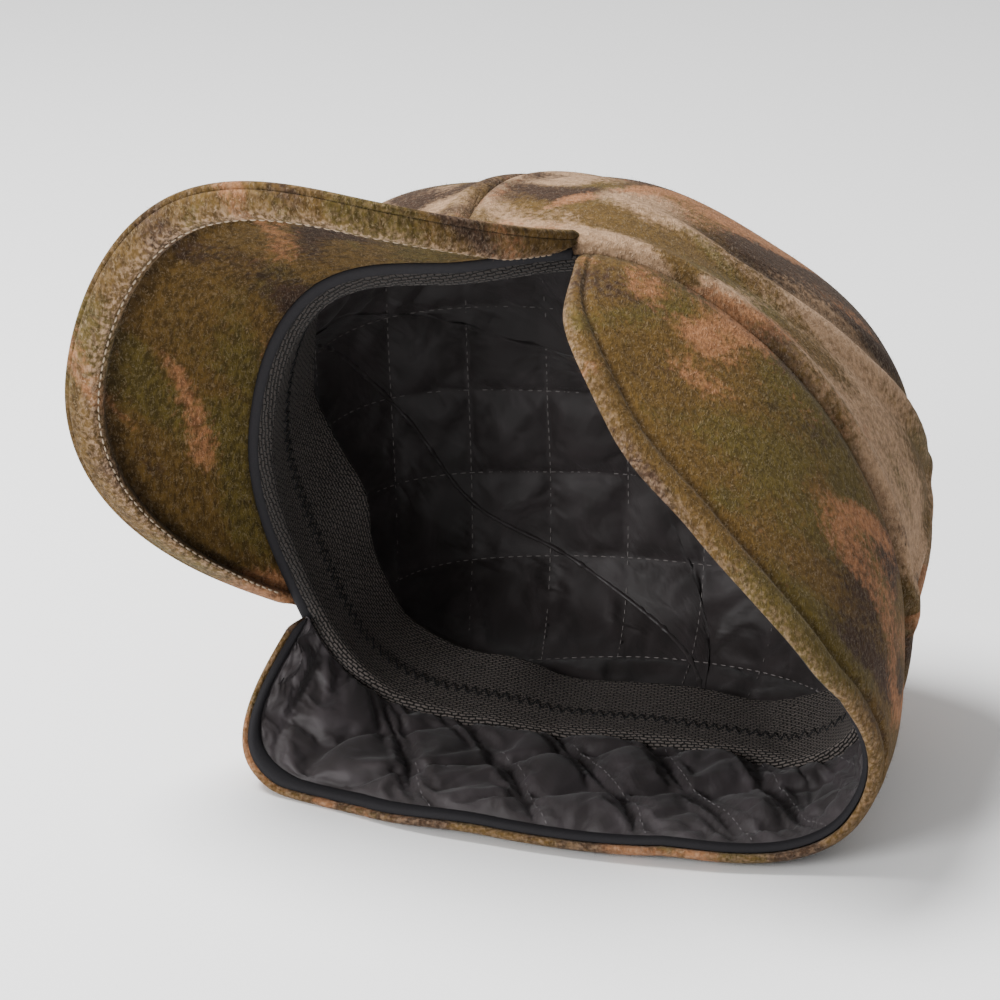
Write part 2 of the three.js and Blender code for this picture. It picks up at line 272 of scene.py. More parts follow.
def border_loops(columns, rows, closed, pole):
    if closed:
        loops = [[(c, 0) for c in range(columns)]]
        return loops if pole else loops + [[(c, rows - 1) for c in range(columns - 1, -1, -1)]]
    bottom = [(c, 0) for c in range(columns)]
    right = [(columns - 1, r) for r in range(1, rows)]
    top = [(c, rows - 1) for c in range(columns - 2, -1, -1)]
    left = [(0, r) for r in range(rows - 2, -1, -1)]
    return [bottom + right + top + left]


def cloth_piece(name, front, back, uv, material, closed=False, pole=False, bulge=0.45, marks=None):
    columns, rows = front.shape[:2]
    marks = marks or {}
    marked = {title: [values.ravel(), values.ravel()] for title, values in marks.items()}
    count = columns * rows
    points = [front.reshape(-1, 3), back.reshape(-1, 3)]
    places = [uv.reshape(-1, 2), uv.reshape(-1, 2)]
    c, r = (g.ravel() for g in np.meshgrid(np.arange(columns - 1), np.arange(rows - 1), indexing="ij"))
    corner = c * rows + r
    skin = np.stack([corner, corner + rows, corner + rows + 1, corner + 1], -1)
    faces = [skin, skin[:, ::-1] + count]
    used = 2 * count
    for loop in border_loops(columns, rows, closed, pole):
        c, r = np.array(loop).T
        f, b = front[c, r], back[c, r]
        inner_c = c if closed else np.clip(c, 1, columns - 2)
        out = unit(f - front[inner_c, np.clip(r, 1, rows - 2)])
        thick = np.linalg.norm(f - b, axis=-1, keepdims=True)
        rings = [c * rows + r]
        for share in (0.2, 0.5, 0.8):
            swell = bulge * thick * math.sin(math.pi * share)
            points.append(f * (1 - share) + b * share + out * swell)
            places.append(uv[c, r])
            for title, values in marks.items():
                marked[title].append(values[c, r])
            rings.append(np.arange(used, used + len(loop)))
            used += len(loop)
        rings.append(c * rows + r + count)
        for first, second in zip(rings[:-1], rings[1:]):
            faces.append(np.stack([first[:-1], second[:-1], second[1:], first[1:]], -1))
    vertices = np.concatenate(points) * METRE
    polygons = np.concatenate(faces)
    coordinates = np.concatenate(places)
    mesh = bpy.data.meshes.new(name)
    mesh.from_pydata(vertices.tolist(), [], polygons.tolist())
    layer = mesh.uv_layers.new(name="cloth")
    layer.uv.foreach_set("vector", coordinates[polygons.ravel()].astype(np.float32).ravel())
    for title, values in marked.items():
        mark = mesh.attributes.new(title, "FLOAT", "POINT")
        mark.data.foreach_set("value", np.concatenate(values).astype(np.float32))
    edit = bmesh.new()
    edit.from_mesh(mesh)
    bmesh.ops.remove_doubles(edit, verts=edit.verts, dist=2e-6)
    bmesh.ops.dissolve_degenerate(edit, edges=edit.edges, dist=1e-6)
    if edit.calc_volume(signed=True) < 0:
        bmesh.ops.reverse_faces(edit, faces=edit.faces)
    edit.to_mesh(mesh)
    edit.free()
    for polygon in mesh.polygons:
        polygon.use_smooth = True
    piece = bpy.data.objects.new(name, mesh)
    bpy.context.collection.objects.link(piece)
    piece.data.materials.append(material)
    return piece


def grid(first, second):
    return np.meshgrid(first, second, indexing="ij")


def lengths(points, axis):
    steps = np.linalg.norm(np.diff(points, axis=axis), axis=-1)
    total = np.cumsum(steps, axis=axis)
    pad = [(1, 0) if i == axis else (0, 0) for i in range(2)]
    return np.pad(total, pad)


def belongs(piece, slot, *nodes):
    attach(piece, BODY)
    if nodes:
        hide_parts(*nodes)
    print(piece.name, "with", len(piece.data.polygons), "faces")


# %% [markdown]
# The wool is felted: short fibres lie every way on it, and catch the light. A node group lays two noises
# stretched in different directions over each other, which reads as fibres, and gives a height for the
# bump and a value that lightens and darkens the colour.

# %% Node helpers and the group of felted fibres


def node(tree, kind, **values):
    made = tree.nodes.new(kind)
    for name, value in values.items():
        setattr(made, name, value)
    return made


def put(socket, tree, value):
    if isinstance(value, bpy.types.NodeSocket):
        tree.links.new(value, socket)
    else:
        socket.default_value = value


def maths(tree, operation, first, second=None, third=None):
    made = node(tree, "ShaderNodeMath", operation=operation)
    for socket, value in zip(made.inputs, (first, second, third)):
        if value is not None:
            put(socket, tree, value)
    return made.outputs[0]


def mixed(tree, share, first, second, blend="MIX"):
    made = node(tree, "ShaderNodeMix", data_type="RGBA", blend_type=blend)
    put(made.inputs[0], tree, share)
    put(made.inputs[6], tree, first)
    put(made.inputs[7], tree, second)
    return made.outputs[2]


def noise(tree, place, scale, detail=2.0, roughness=0.5, distortion=0.0):
    made = node(tree, "ShaderNodeTexNoise")
    put(made.inputs["Vector"], tree, place)
    made.inputs["Scale"].default_value = scale
    made.inputs["Detail"].default_value = detail
    made.inputs["Roughness"].default_value = roughness
    made.inputs["Distortion"].default_value = distortion
    return made.outputs["Fac"]


def turned(tree, place, rotation=(0, 0, 0), scale=(1, 1, 1), location=(0, 0, 0)):
    made = node(tree, "ShaderNodeMapping")
    put(made.inputs["Vector"], tree, place)
    made.inputs["Rotation"].default_value = rotation
    made.inputs["Scale"].default_value = scale
    made.inputs["Location"].default_value = location
    return made.outputs[0]


def stretched(tree, place, rotation, lengths_along, location):
    made = node(tree, "ShaderNodeMapping", vector_type="TEXTURE")
    put(made.inputs["Vector"], tree, place)
    made.inputs["Rotation"].default_value = rotation
    made.inputs["Scale"].default_value = lengths_along
    made.inputs["Location"].default_value = location
    return made.outputs[0]


def stepped(tree, value, low, high):
    made = node(tree, "ShaderNodeMapRange", interpolation_type="SMOOTHSTEP")
    put(made.inputs["Value"], tree, value)
    made.inputs["From Min"].default_value = low
    made.inputs["From Max"].default_value = high
    return made.outputs[0]


def new_group(name, inputs, outputs):
    tree = bpy.data.node_groups.new(name, "ShaderNodeTree")
    for title, kind, value in inputs:
        socket = tree.interface.new_socket(title, in_out="INPUT", socket_type=kind)
        if value is not None:
            socket.default_value = value
    for title, kind in outputs:
        tree.interface.new_socket(title, in_out="OUTPUT", socket_type=kind)
    return tree, tree.nodes.new("NodeGroupInput"), tree.nodes.new("NodeGroupOutput")


def felted_fibres_group():
    inputs = [("Place", "NodeSocketVector", None)]
    outputs = [(name, "NodeSocketFloat") for name in ("Fibre", "Nap", "Height")]
    tree, start, end = new_group("felted fibres", inputs, outputs)
    place = start.outputs["Place"]
    strands = []
    for rotation in ((0.4, 0.2, 0.3), (1.3, 0.9, 1.6), (0.8, 2.2, 2.6)):
        drawn = turned(tree, place, rotation, (1.0, 0.33, 0.6))
        strands.append(noise(tree, drawn, 1700.0, 1.0, 0.5, 0.8))
    crossed = maths(tree, "MAXIMUM", strands[0], strands[1])
    crossed = maths(tree, "MAXIMUM", crossed, strands[2])
    clumps = noise(tree, place, 420.0, 3.0, 0.65)
    grain = noise(tree, turned(tree, place, (0.2, 0.1, 0.4), (1.0, 1.0, 0.35)), 900.0, 2.0, 0.6)
    fibre = stepped(tree, crossed, 0.58, 0.78)
    tree.links.new(fibre, end.inputs["Fibre"])
    nap = maths(tree, "MULTIPLY_ADD", clumps, 0.9, maths(tree, "MULTIPLY", grain, 0.7))
    tree.links.new(stepped(tree, nap, 0.62, 0.98), end.inputs["Nap"])
    height = maths(tree, "MULTIPLY_ADD", nap, 1.6, maths(tree, "MULTIPLY", fibre, 0.5))
    tree.links.new(height, end.inputs["Height"])
    return tree


felted_fibres = felted_fibres_group()
print("fibre group nodes:", len(felted_fibres.nodes))

# %% [markdown]
# The print on the wool is a plain woodland camouflage: soft patches of tan, rust and dark brown on an
# olive ground. Each colour is a stretched noise cut at a level, and a little fine noise in its edge makes
# the print look soaked into the nap. The colours sit in one group, so that every panel shows the same
# print, and a shift of its place cuts each panel from another part of the cloth.

# %% The camouflage group and the wool material
OLIVE = (0.092, 0.052, 0.012, 1)
MOSS = (0.078, 0.055, 0.011, 1)
TAN = (0.330, 0.208, 0.122, 1)
RUST = (0.270, 0.120, 0.052, 1)
BROWN = (0.036, 0.018, 0.010, 1)
PALE_NAP_AND_HIGHLIGHT = (0.44, 0.29, 0.19, 1)
SHADED_WOOL = (0.030, 0.018, 0.010, 1)
FIBRE_TIP = (0.50, 0.42, 0.32, 1)


def camouflage_group():
    inputs = [("Place", "NodeSocketVector", None)]
    inputs += [(f"{name} share", "NodeSocketFloat", 0.0) for name in ("Tan", "Rust", "Brown")]
    outputs = [("Colour", "NodeSocketColor")]
    tree, start, end = new_group("woodland camouflage", inputs, outputs)
    place = start.outputs["Place"]
    soak = maths(tree, "MULTIPLY", noise(tree, place, 520.0, 3.0), 0.24)
    colour = OLIVE
    # Colour, name of its share, rotation, stretch, place, size of the noise and level where it is cut
    layers = [
        (MOSS, None, (-1.1, -0.5, 0.1), (1.0, 2.4, 1.2), (3.1, 1.7, 0.4), 34.0, 0.63),
        (TAN, "Tan share", (-1.2, -0.6, 0.0), (1.0, 3.0, 1.3), (0.7, 4.2, 2.3), 30.0, 0.73),
        (BROWN, "Brown share", (-1.3, -0.75, 0.1), (1.0, 3.4, 1.3), (2.4, 7.7, 1.2), 34.0, 0.69),
        (RUST, "Rust share", (-1.2, -0.7, 0.1), (1.0, 3.4, 1.3), (6.3, 0.8, 5.1), 36.0, 0.73),
    ]
    for tint, share, rotation, drawn_out, location, size, cut in layers:
        place_there = stretched(tree, place, rotation, drawn_out, location)
        shape = noise(tree, place_there, size, 1.6, 0.5, 0.7)
        edge = maths(tree, "ADD", shape, soak)
        if share:
            edge = maths(tree, "ADD", edge, start.outputs[share])
        mask = stepped(tree, edge, cut - 0.01, cut + 0.12)
        colour = mixed(tree, mask, colour, tint)
    tree.links.new(colour, end.inputs["Colour"])
    return tree


camouflage = camouflage_group()


def principled(name, roughness):
    material = bpy.data.materials.new(name)
    material.use_nodes = True
    tree = material.node_tree
    shader = tree.nodes["Principled BSDF"]
    shader.inputs["Roughness"].default_value = roughness
    shader.inputs["Specular IOR Level"].default_value = 0.25
    return material, tree, shader


def grouped(tree, group):
    made = node(tree, "ShaderNodeGroup")
    made.node_tree = group
    return made


def wool(name, shift, tan, rust, brown, coarse=1.0, depth=0.58):
    material, tree, shader = principled(name, 0.95)
    place = node(tree, "ShaderNodeTexCoord").outputs["Object"]
    printed = grouped(tree, camouflage)
    tree.links.new(turned(tree, place, location=shift), printed.inputs["Place"])
    for title, share in (("Tan share", tan), ("Rust share", rust), ("Brown share", brown)):
        printed.inputs[title].default_value = share
    fibres = grouped(tree, felted_fibres)
    finer = turned(tree, place, scale=(1 / coarse, 1 / coarse, 1 / coarse))
    tree.links.new(finer, fibres.inputs["Place"])
    # The first mark lightens crests with pale fibres: partly wear and partly painted highlight. The
    # shaded mark darkens grooves with painted shade.
    wear_and_highlight = node(tree, "ShaderNodeAttribute", attribute_name="wear_and_highlight").outputs["Fac"]
    ticks = stepped(tree, noise(tree, place, 760.0, 1.0, 0.5), 0.40, 0.66)
    speckled = maths(tree, "MULTIPLY", wear_and_highlight, maths(tree, "MULTIPLY_ADD", ticks, 0.85, 0.15))
    shaded = node(tree, "ShaderNodeAttribute", attribute_name="shaded").outputs["Fac"]
    colour = mixed(tree, speckled, printed.outputs["Colour"], PALE_NAP_AND_HIGHLIGHT)
    colour = mixed(tree, shaded, colour, SHADED_WOOL)
    dark = mixed(tree, 1.0, colour, (depth, 0.97 * depth, 0.94 * depth, 1), "MULTIPLY")
    pale = mixed(tree, 0.10, colour, FIBRE_TIP)
    napped = mixed(tree, fibres.outputs["Nap"], dark, colour)
    tree.links.new(mixed(tree, fibres.outputs["Fibre"], napped, pale), shader.inputs["Base Color"])
    shader.inputs["Specular IOR Level"].default_value = 0.12
    shader.inputs["Sheen Weight"].default_value = 0.05
    shader.inputs["Sheen Roughness"].default_value = 0.5
    shader.inputs["Sheen Tint"].default_value = (1.0, 0.90, 0.78, 1)
    bump = node(tree, "ShaderNodeBump")
    bump.inputs["Strength"].default_value = 0.8
    bump.inputs["Distance"].default_value = 0.0005
    tree.links.new(fibres.outputs["Height"], bump.inputs["Height"])
    tree.links.new(bump.outputs[0], shader.inputs["Normal"])
    return material


wool_crown = wool("wool of the crown", (0.02, 0.03, 0.01), 0.17, 0.04, 0.06)
wool_side = wool("wool of the side panels", (0.31, 0.11, 0.07), 0.20, 0.04, 0.06)
wool_flap = wool("wool of the flap", (0.12, 0.43, 0.25), -0.10, 0.055, 0.07)
wool_peak = wool("wool of the peak", (0.53, 0.22, 0.36), -0.06, 0.02, 0.02, coarse=1.25, depth=0.42)
print("wools:", wool_crown.name, wool_side.name, wool_flap.name, wool_peak.name, sep="\n")

# %% [markdown]
# Nylon is thin and a little shiny, with a fine weave and small creases, whose tops are painted lighter as
# a painted highlight. There are two copies of one nylon: the flap's is painted lighter, as a lit copy,
# and the crown's darker, as a shaded copy. The knit is matt, and its short loops lie in offset rows,
# painted light on the loops and dark between them as painted shade. Weave and knit follow the cloth's own
# UV map, which is in centimetres. Tapes and threads are too narrow to show a pattern, so a fine grain in
# their colour and bump is enough.

# %% Nylon, knit, tape and thread materials
KNIT_HOLLOW_SHADE = (0.010, 0.0084, 0.0078, 1)
KNIT_YARN = (0.128, 0.108, 0.098, 1)
KNIT_SHADED = (0.006, 0.0048, 0.0042, 1)


def nylon_material(name, dark, pale):
    material, tree, shader = principled(name, 0.45)
    coordinates = node(tree, "ShaderNodeTexCoord")
    place = coordinates.outputs["Object"]
    cloth = coordinates.outputs["UV"]
    weave_a = node(tree, "ShaderNodeTexWave", wave_type="BANDS", bands_direction="X")
    weave_b = node(tree, "ShaderNodeTexWave", wave_type="BANDS", bands_direction="Y")
    for weave in (weave_a, weave_b):
        tree.links.new(cloth, weave.inputs["Vector"])
        weave.inputs["Scale"].default_value = 9.0
        weave.inputs["Distortion"].default_value = 0.4
    crossing = maths(tree, "MULTIPLY", weave_a.outputs["Fac"], weave_b.outputs["Fac"])
    creases = noise(tree, turned(tree, place, (0.5, 0.3, 0.9), (1, 0.4, 0.8)), 60.0, 2.0, 0.5, 1.6)
    height = maths(tree, "MULTIPLY_ADD", creases, 3.0, maths(tree, "MULTIPLY", crossing, 0.25))
    bump = node(tree, "ShaderNodeBump")
    bump.inputs["Strength"].default_value = 0.5
    bump.inputs["Distance"].default_value = 0.0004
    tree.links.new(height, bump.inputs["Height"])
    tree.links.new(bump.outputs[0], shader.inputs["Normal"])
    # The tops of the creases are paler: a painted highlight on the creases.
    tint = mixed(tree, stepped(tree, creases, 0.35, 0.7), dark, pale)
    tree.links.new(tint, shader.inputs["Base Color"])
    shader.inputs["Specular IOR Level"].default_value = 0.3
    shader.inputs["Sheen Weight"].default_value = 0.1
    return material


def knit_material():
    material, tree, shader = principled("charcoal knit", 0.9)
    cloth = node(tree, "ShaderNodeTexCoord").outputs["UV"]
    waver = noise(tree, cloth, 3.2, 3.0, 0.6)
    shifted = node(tree, "ShaderNodeCombineXYZ")
    tree.links.new(waver, shifted.inputs["X"])
    tree.links.new(waver, shifted.inputs["Y"])
    bent = node(tree, "ShaderNodeVectorMath", operation="MULTIPLY_ADD")
    tree.links.new(shifted.outputs[0], bent.inputs[0])
    bent.inputs[1].default_value = (0.16, 0.16, 0)
    tree.links.new(turned(tree, cloth, (0, 0, 0.10)), bent.inputs[2])
    loops = node(tree, "ShaderNodeTexBrick", offset=0.5, squash=1.0)
    tree.links.new(bent.outputs[0], loops.inputs["Vector"])
    loops.inputs["Scale"].default_value = 1.0
    loops.inputs["Brick Width"].default_value = 0.22
    loops.inputs["Row Height"].default_value = 0.105
    loops.inputs["Mortar Size"].default_value = 0.034
    loops.inputs["Mortar Smooth"].default_value = 1.0
    height = maths(tree, "SUBTRACT", 1.0, loops.outputs["Fac"])
    yarn = noise(tree, cloth, 14.0, 3.0, 0.7)
    height = maths(tree, "MULTIPLY_ADD", yarn, 0.3, height)
    bump = node(tree, "ShaderNodeBump")
    bump.inputs["Strength"].default_value = 0.9
    bump.inputs["Distance"].default_value = 0.0006
    tree.links.new(height, bump.inputs["Height"])
    tree.links.new(bump.outputs[0], shader.inputs["Normal"])
    # Light on the loops and dark in the hollows between them: painted shade in the knit.
    tint = mixed(tree, stepped(tree, height, 0.6, 1.2), KNIT_HOLLOW_SHADE, KNIT_YARN)
    shaded = node(tree, "ShaderNodeAttribute", attribute_name="shaded").outputs["Fac"]
    tint = mixed(tree, shaded, tint, KNIT_SHADED)
    tree.links.new(tint, shader.inputs["Base Color"])
    shader.inputs["Sheen Weight"].default_value = 0.05
    shader.inputs["Specular IOR Level"].default_value = 0.2
    return material


def plain_cloth(name, colour, roughness, fineness):
    material, tree, shader = principled(name, roughness)
    place = node(tree, "ShaderNodeTexCoord").outputs["Object"]
    grain = noise(tree, place, fineness, 2.0, 0.6)
    darker = tuple(0.6 * v for v in colour[:3]) + (1,)
    tree.links.new(mixed(tree, grain, darker, colour), shader.inputs["Base Color"])
    bump = node(tree, "ShaderNodeBump")
    bump.inputs["Strength"].default_value = 0.5
    bump.inputs["Distance"].default_value = 0.0002
    tree.links.new(grain, bump.inputs["Height"])
    tree.links.new(bump.outputs[0], shader.inputs["Normal"])
    return material


# The crown's nylon is painted darker, as a shaded copy, and the flap's lighter, as a lit copy of the same
# cloth.
nylon = nylon_material("shaded charcoal nylon", (0.0200, 0.0158, 0.0156, 1), (0.031, 0.0250, 0.0256, 1))
lit_flap_nylon = nylon_material("lit flap nylon", (0.031, 0.0255, 0.0264, 1), (0.048, 0.040, 0.043, 1))
knit = knit_material()
tape = plain_cloth("black tape", (0.011, 0.010, 0.012, 1), 0.8, 1400.0)
dark_thread = plain_cloth("black thread", (0.008, 0.008, 0.009, 1), 0.6, 3000.0)
grey_thread = plain_cloth("grey thread", (0.20, 0.18, 0.175, 1), 0.6, 3000.0)
flap_thread = plain_cloth("dark grey thread", (0.19, 0.175, 0.18, 1), 0.6, 3000.0)
wool_thread = plain_cloth("tan thread", (0.40, 0.31, 0.22, 1), 0.9, 3000.0)
print("two nylons, a knit, a tape and four threads made")

# %% [markdown]
# The crown is a strip of wool from forehead to nape with a panel on each side. Where two panels are sewn
# together, their edges turn in, so there is a narrow groove with a soft swelling on both sides of it. At
# the rim the wool is turned in too, and overhangs the flap a little. One soft fold runs along the left
# side above the flap, where the crown sags as it lies. Every groove and swell is one ridge of relief
# across the cloth, with its height, its distance from a line and its width.

# %% Crown panels
CENTRE_COLUMNS, CENTRE_ROWS = 230, 84
SIDE_COLUMNS, SIDE_ROWS = 132, 88
ROWS_NEAR_AN_EDGE = 0.36
RIM_CLEARANCE, SEAM_CLEARANCE, LINING_CLEARANCE = 0.0012, 0.0011, 0.0003


def seam_path(sign):
    share = np.linspace(-1, 1, 401)
    turn = SEAM_MIDDLE + SEAM_HALF * np.sin(np.pi / 2 * share)
    return crown_point(sign * turn, seam_climb(turn))


seam_paths = np.concatenate([seam_path(1), seam_path(-1)])

# Height, distance from its line and width of each ridge in millimetres. A positive height goes inwards
SEAM_GROOVE, SEAM_SWELL = (1.9, 0.0, 1.3), (-1.9, 4.8, 3.6)
RIM_TURN, RIM_SWELL = (1.4, 0.0, 1.4), (-1.9, 6.0, 4.5)
FOLD_ABOVE, FOLD_BELOW, FOLD_CREST = (1.7, 8.5, 4.0), (1.0, 8.0, 3.5), (-2.0, 0.0, 4.2)
HIGHEST, DEEPEST = -4.5, 1.9

# The fold on the left side: degrees round the rim, and its climb there
FOLD_AT = np.array([52, 66, 81, 96, 116, 133, 150])
FOLD_CLIMB = np.array([0.27, 0.25, 0.20, 0.235, 0.32, 0.45, 0.58])
fold_turn = np.linspace(52, 150, 200)
fold_path = crown_point(fold_turn, np.interp(fold_turn, FOLD_AT, FOLD_CLIMB))


def fading(degrees):
    return np.clip((degrees - 56) / 24, 0, 1) * np.clip((152 - degrees) / 14, 0, 1)


def fold_relief(degrees, climb, points):
    fold = distance_to(points, fold_path)
    above = climb > np.interp(degrees, FOLD_AT, FOLD_CLIMB)
    sunk = ridge(fold, *FOLD_ABOVE) * above + ridge(fold, *FOLD_BELOW) * ~above
    return (sunk + ridge(fold, *FOLD_CREST)) * fading(degrees)


def crown_relief(degrees, climb):
    points = crown_point(degrees, climb)
    seam = distance_to(points, seam_paths)
    rim = points[..., 2] - around(RIM_HEIGHT, degrees)
    groove = ridge(seam, *SEAM_GROOVE) + ridge(seam, *SEAM_SWELL)
    turned_in = ridge(rim, *RIM_TURN) + ridge(rim, *RIM_SWELL)
    return np.clip(groove + turned_in + fold_relief(degrees, climb, points), HIGHEST, DEEPEST)


def cloth_uv(degrees, climb, depth):
    points = crown_layer(degrees, climb, np.full_like(degrees, depth))
    middle = points.shape[1] // 2
    across = lengths(points, 0)[:, middle : middle + 1] + 0 * degrees
    return np.stack([across, lengths(points, 1)], -1) / 10


def crown_marks(degrees, climb):
    points = crown_point(degrees, climb)
    fold = distance_to(points, fold_path)
    seam = distance_to(points, seam_paths)
    rim = points[..., 2] - around(RIM_HEIGHT, degrees)
    above = climb > np.interp(degrees, FOLD_AT, FOLD_CLIMB)
    # Lighter along the crest of the left fold and on the swells beside the seams: painted highlight.
    # Darker in the fold's hollow, along the seams and at the rim: painted shade.
    wear_and_highlight = ridge(fold, 0.40, 1.0, 4.0) * fading(degrees) + ridge(seam, 0.20, 4.0, 2.5)
    hollow = ridge(fold, 0.6, 9.5, 4.5) * above * fading(degrees)
    shaded = hollow + ridge(seam, 0.55, 0.0, 1.2) + ridge(rim, 0.5, 0.0, 2.5)
    return {"wear_and_highlight": wear_and_highlight, "shaded": np.clip(shaded, 0, 0.8)}


def crown_piece(name, degrees, climb, front, back, material, **shape):
    front_points = crown_layer(degrees, climb, front)
    back_points = crown_layer(degrees, climb, back)
    uv = cloth_uv(degrees, climb, 0.0)
    marks = crown_marks(degrees, climb)
    return cloth_piece(name, front_points, back_points, uv, material, marks=marks, **shape)


def closer_rows(rows, at_start, at_end, near=0.13):
    dense = int(rows * ROWS_NEAR_AN_EDGE)
    parts = [np.linspace(0, near, dense)[:-1]] if at_start else []
    low, high = (near if at_start else 0), (1 - near if at_end else 1)
    tail = [np.linspace(high, 1, dense)[1:]] if at_end else []
    middle = rows - sum(len(part) for part in parts + tail)
    return np.concatenate(parts + [np.linspace(low, high, middle)] + tail)


def centre_grid(columns, rows, clearance=SEAM_CLEARANCE):
    front = np.sin(np.linspace(-1, 1, columns // 4 + 1) * np.pi / 2) * SEAM_FRONT
    turn = np.sin(np.linspace(-1, 1, columns // 3 + 1) * np.pi / 2)
    side = SEAM_MIDDLE + SEAM_HALF * turn
    back = 180 + np.sin(np.linspace(-1, 1, columns // 4 + 1) * np.pi / 2) * (180 - SEAM_BACK)
    stations = np.concatenate([front, side[1:-1], back, 360 - side[::-1][1:-1], front[:1] + 360])
    degrees, share = grid(stations, closer_rows(rows, True, False))
    seam = seam_climb(degrees)
    start = np.where(seam > 0.01, seam + clearance, RIM_CLEARANCE)
    return degrees, start + (1 - start) * share


def side_grid(sign, columns, rows, clearance=SEAM_CLEARANCE):
    turn = np.sin(np.linspace(-1, 1, columns) * np.pi / 2 * 0.985)
    stations = SEAM_MIDDLE + SEAM_HALF * turn
    stations = stations if sign > 0 else 360 - stations
    degrees, share = grid(stations, closer_rows(rows, True, True, 0.16))
    top = seam_climb(degrees) - clearance
    return degrees, RIM_CLEARANCE + (top - RIM_CLEARANCE) * share


degrees, climb = centre_grid(CENTRE_COLUMNS, CENTRE_ROWS)
relief = crown_relief(degrees, climb)
whole = {"closed": True, "pole": True}
piece = crown_piece("centre_wool", degrees, climb, relief, 0 * relief + WOOL, wool_crown, **whole)
belongs(piece, "wool", "crown_centre_panel")
wool_pieces = [piece]
for label, sign in (("left", 1), ("right", -1)):
    degrees, climb = side_grid(sign, SIDE_COLUMNS, SIDE_ROWS)
    relief = crown_relief(degrees, climb)
    piece = crown_piece(f"{label}_wool", degrees, climb, relief, 0 * relief + WOOL, wool_side)
    belongs(piece, "wool", f"crown_{label}_panel")
    wool_pieces.append(piece)

# %% [markdown]
# The peak has two layers of wool. Padding in the edge of the lower one makes a rolled border, held by a
# row of stitches, and inside it the cloth dips into a valley before it runs flat to the crown. A table
# of swells, read by the distance from the edge, gives that profile all the way round. The wool's material
# paints the crest of the roll lighter, partly wear and partly painted highlight, and the valley darker,
# with painted shade.

# %% Peak
ROLL_FROM = np.array([0, 1.2, 3.5, 5.8, 6.7, 7.8, 9.6, 11.4, 12.8, 14.2, 16, 19, 23, 30, 200])
ROLL_SWELL = np.array([0.4, 2.8, 4.7, 5.0, 4.4, 4.6, 3.4, 0.4, -1.2, -1.5, -0.7, 1.0, 1.4, 1.0, 0.8])
PEAK_COLUMNS, PEAK_ROWS = 150, 66
FADES_BELOW = 30.0
STITCHES_IN = 6.7


def peak_grid(height_of):
    stations = np.sin(np.linspace(-1, 1, PEAK_COLUMNS) * np.pi / 2 * 0.93) * 0.9915
    side, share = grid(stations, closer_rows(PEAK_ROWS, False, True, 0.3))
    length = peak_length(side)
    plain = height_of(side, length * share, length)
    start = peak_start(side, plain[:, :1] + 0 * side)
    reach = start + (length - start) * share
    return side, reach, height_of(side, reach, length), length


def at_full(width):
    return np.minimum(width / FADES_BELOW, 1)


def under_height(side, reach, length):
    edge = np.maximum(length - reach, 0)
    return -np.interp(edge, ROLL_FROM, ROLL_SWELL) * at_full(length)


def flat_height(value):
    return lambda side, reach, length: 0 * side + value


def top_height(side, reach, length):
    edge = np.maximum(length - reach, 0)
    return 2 * PEAK_CLOTH + GAP + ridge(edge, 0.5, 4, 3.5) + ridge(edge, -0.45, 9, 1.5)


def peak_marks(reach, length):
    edge = np.maximum(length - reach, 0)
    # Lighter on the crest of the roll: partly wear and partly painted highlight. Darker in the valley and
    # at the stitches: painted shade.
    crest = ridge(edge, 0.66, 5.0, 4.0)
    valley = ridge(edge, 0.58, 13.8, 4.2) + ridge(edge, 0.35, STITCHES_IN, 0.5)
    return {"wear_and_highlight": crest * at_full(length), "shaded": valley * at_full(length)}


def peak_piece(name, below, above, material):
    side, reach, height, length = peak_grid(below)
    marks = peak_marks(reach, length)
    low = peak_layer(side, reach, height)
    side, reach, height, _ = peak_grid(above)
    high = peak_layer(side, reach, height)
    uv = np.stack([lengths(low, 0)[:, -1:] + 0 * side, lengths(low, 1)], -1) / 10
    return cloth_piece(name, low, high, uv, material, marks=marks)


peak_under = peak_piece("peak_lower_cloth", under_height, flat_height(PEAK_CLOTH), wool_peak)
belongs(peak_under, "wool", "peak_under_cloth")
peak_top = peak_piece("peak_upper_cloth", flat_height(PEAK_CLOTH + 0.1), top_height, wool_peak)
belongs(peak_top, "wool", "peak_top_cloth")
wool_pieces += [peak_under, peak_top]

# %% [markdown]
# The flap's wool hangs from the rim. A row of stitches 9 mm from its free edge pulls a shallow groove
# into it, and near the rim it is drawn in under the crown's overhang.

# %% Flap wool
FLAP_COLUMNS, FLAP_ROWS = 280, 72
FLAP_FIRST, FLAP_RUN = 0.0085, 0.983
HEM_GROOVE, HEM_SWELL, INNER_SWELL = (1.2, 9.0, 1.1), (-0.9, 4.5, 3.0), (-0.5, 13.0, 3.0)


def flap_stations(columns):
    share = np.linspace(0, 1, columns)
    closer_at_ends = 0.65 * share + 0.35 * (0.5 - 0.5 * np.cos(np.pi * share))
    return FLAP_FIRST + FLAP_RUN * closer_at_ends


def flap_grid(depth_of, span, rows=FLAP_ROWS, cut=0.0):
    place, share = grid(flap_stations(FLAP_COLUMNS), closer_rows(rows, True, True, 0.22))
    width = np.linalg.norm(flap_rib(place), axis=-1)
    start, end = span(width, flap_start(place, 0 * place + cut))
    distance = start + (end - start) * share
    depth = depth_of(place, distance, width)
    return place, distance, flap_layer(place, distance, depth)


def wool_depth(place, distance, width):
    hem = width - distance
    groove = ridge(hem, *HEM_GROOVE) + ridge(hem, *HEM_SWELL) + ridge(hem, *INNER_SWELL)
    under = ridge(distance, 1.9, 0.0, 3.8)
    rounded = ridge(hem, 0.5, 0.0, 1.0)
    return groove * at_full(width) + under + rounded


def level_depth(value):
    return lambda place, distance, width: 0 * place + value


def shell_span(width, start):
    return start, width


